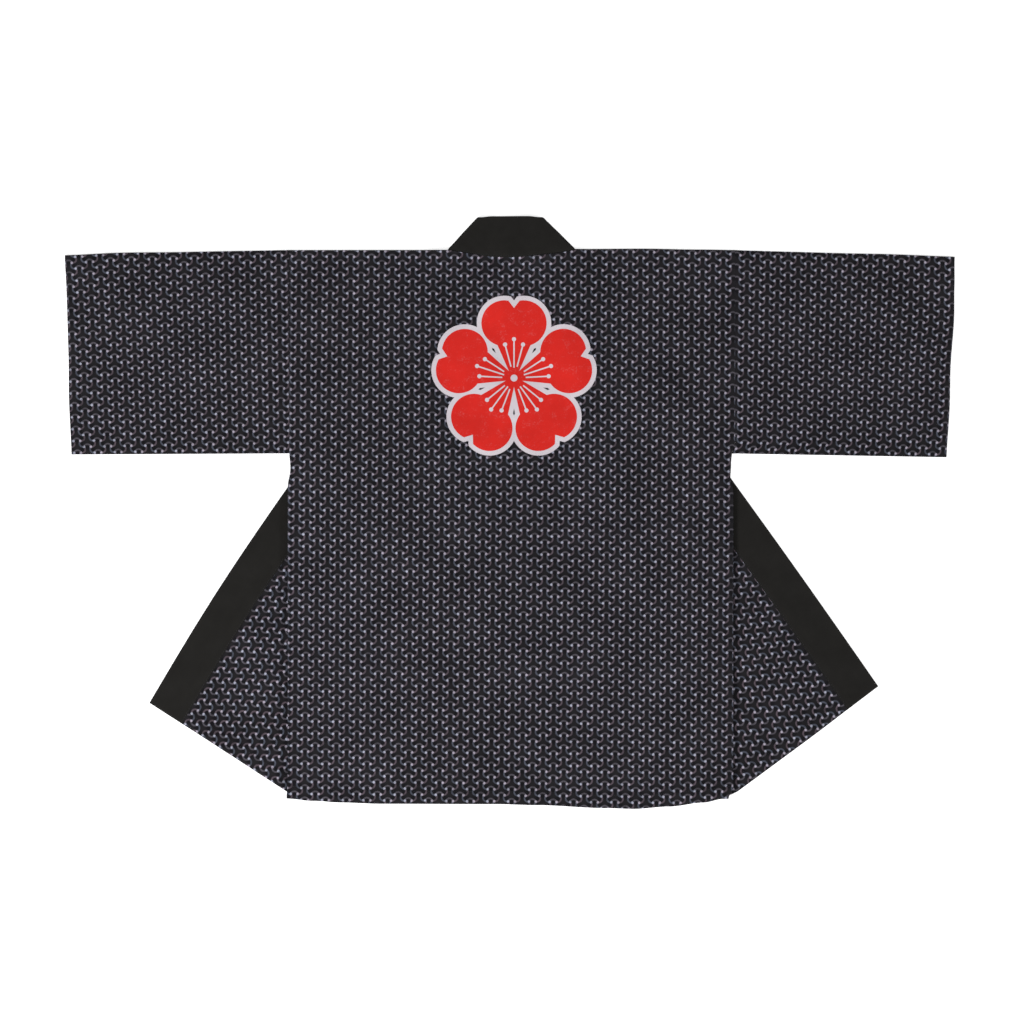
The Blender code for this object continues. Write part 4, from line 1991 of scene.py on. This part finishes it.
@dataclass(frozen=True)
class Lamp:
    """A soft studio lamp that looks at the coat."""

    name: str
    place: tuple[float, float, float]
    size: float
    power: float
    color: Color = (1.0, 1.0, 1.0)

    def hang(self) -> None:
        """Hangs the lamp."""
        light = bpy.data.lights.new(self.name, "AREA")
        light.shape = "DISK"
        light.size = self.size
        light.energy = self.power
        light.color = self.color
        lamp = bpy.data.objects.new(self.name, light)
        lamp.location = self.place
        aim = Vector((0.0, 0.0, 0.0)) - lamp.location
        lamp.rotation_euler = aim.to_track_quat("-Z", "Y").to_euler()
        bpy.context.scene.collection.objects.link(lamp)


@dataclass(frozen=True)
class Studio:
    """A pale floor, soft even light, and a camera straight above."""

    frame_width: float = 1.4746
    lens: float = 85.0
    sensor: float = 36.0
    middle: Pair = (0.0036, 0.0)
    level: float = 0.003
    floor_size: float = 60.0
    sky: float = 0.4125
    white: float = 1.0
    lamps: tuple[Lamp, ...] = (
        Lamp("left_lamp", (-2.5, -1.8, 2.0), 1.2, 103.0),
        Lamp("right_lamp", (6.0, -2.4, 2.7), 1.2, 215.0),
    )

    def set_up(self) -> None:
        """Makes the floor, the light and the camera."""
        self.lay_floor()
        for lamp in self.lamps:
            lamp.hang()
        scene = bpy.context.scene
        scene.world = self.surround()
        scene.view_settings.view_transform = "Standard"
        scene.view_settings.look = "None"
        self.hang_camera()

    def surround(self) -> bpy.types.World:
        """Makes the soft light from all round, which looks plain white itself.

        Returns:
            The world.
        """
        world = bpy.data.worlds.new("studio_light")
        world.use_nodes = True
        tree = world.node_tree
        background = tree.nodes["Background"]
        background.inputs["Color"].default_value = (1.0, 1.0, 1.0, 1.0)
        seen = Field(tree, tree.nodes.new("ShaderNodeLightPath").outputs["Is Camera Ray"])
        strength = seen * (self.white - self.sky) + self.sky
        tree.links.new(strength.socket, background.inputs["Strength"])
        return world

    def lay_floor(self) -> None:
        """Lays the floor."""
        bpy.ops.object.select_all(action="DESELECT")
        bpy.ops.mesh.primitive_plane_add(size=self.floor_size, location=(0.0, 0.0, 0.0))
        floor = bpy.context.active_object
        floor.name = "floor"
        floor.data.materials.append(PaleFloor().material())

    def hang_camera(self) -> None:
        """Hangs the camera straight above the coat, at the photograph's framing."""
        data = bpy.data.cameras.new("camera")
        data.lens = self.lens
        data.sensor_width = self.sensor
        camera = bpy.data.objects.new("camera", data)
        camera.location = (*self.middle, self.frame_width * self.lens / self.sensor + self.level)
        bpy.context.scene.collection.objects.link(camera)
        bpy.context.scene.camera = camera


def main() -> None:
    """Builds the coat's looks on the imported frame."""
    logging.basicConfig(level=logging.INFO, format="%(name)s %(message)s")
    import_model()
    Studio().set_up()
    palette = Palette.mixed()
    BackPanel(palette).build()
    for side in SIDES:
        FrontPanel(palette, side).build()
        FrontBand(palette, side).build()
    Sleeve(
        palette,
        LEFT,
        root_foot_y=0.0843,
        cuff_top=(0.6408, 0.3700),
        cuff_foot=(0.6310, 0.0828),
        cuff_line=(
            (0.0, -0.0002), (0.25, 0.0006), (0.50, -0.0010), (0.80, -0.0012), (1.0, -0.0003)
        ),
        print_origin=(-0.46348, 0.22746),
        print_turn=-0.80,
    ).build()
    Sleeve(
        palette,
        RIGHT,
        root_foot_y=0.0842,
        cuff_top=(0.6408, 0.3672),
        cuff_foot=(0.6288, 0.0788),
        cuff_line=(
            (0.0, 0.0006), (0.25, 0.0020), (0.45, 0.0008),
            (0.70, 0.0029), (0.85, 0.0017), (1.0, 0.0003),
        ),
        print_origin=(0.47566, 0.21937),
        print_turn=0.65,
    ).build()
    NeckBand(palette).build()


if __name__ == "__main__":
    main()
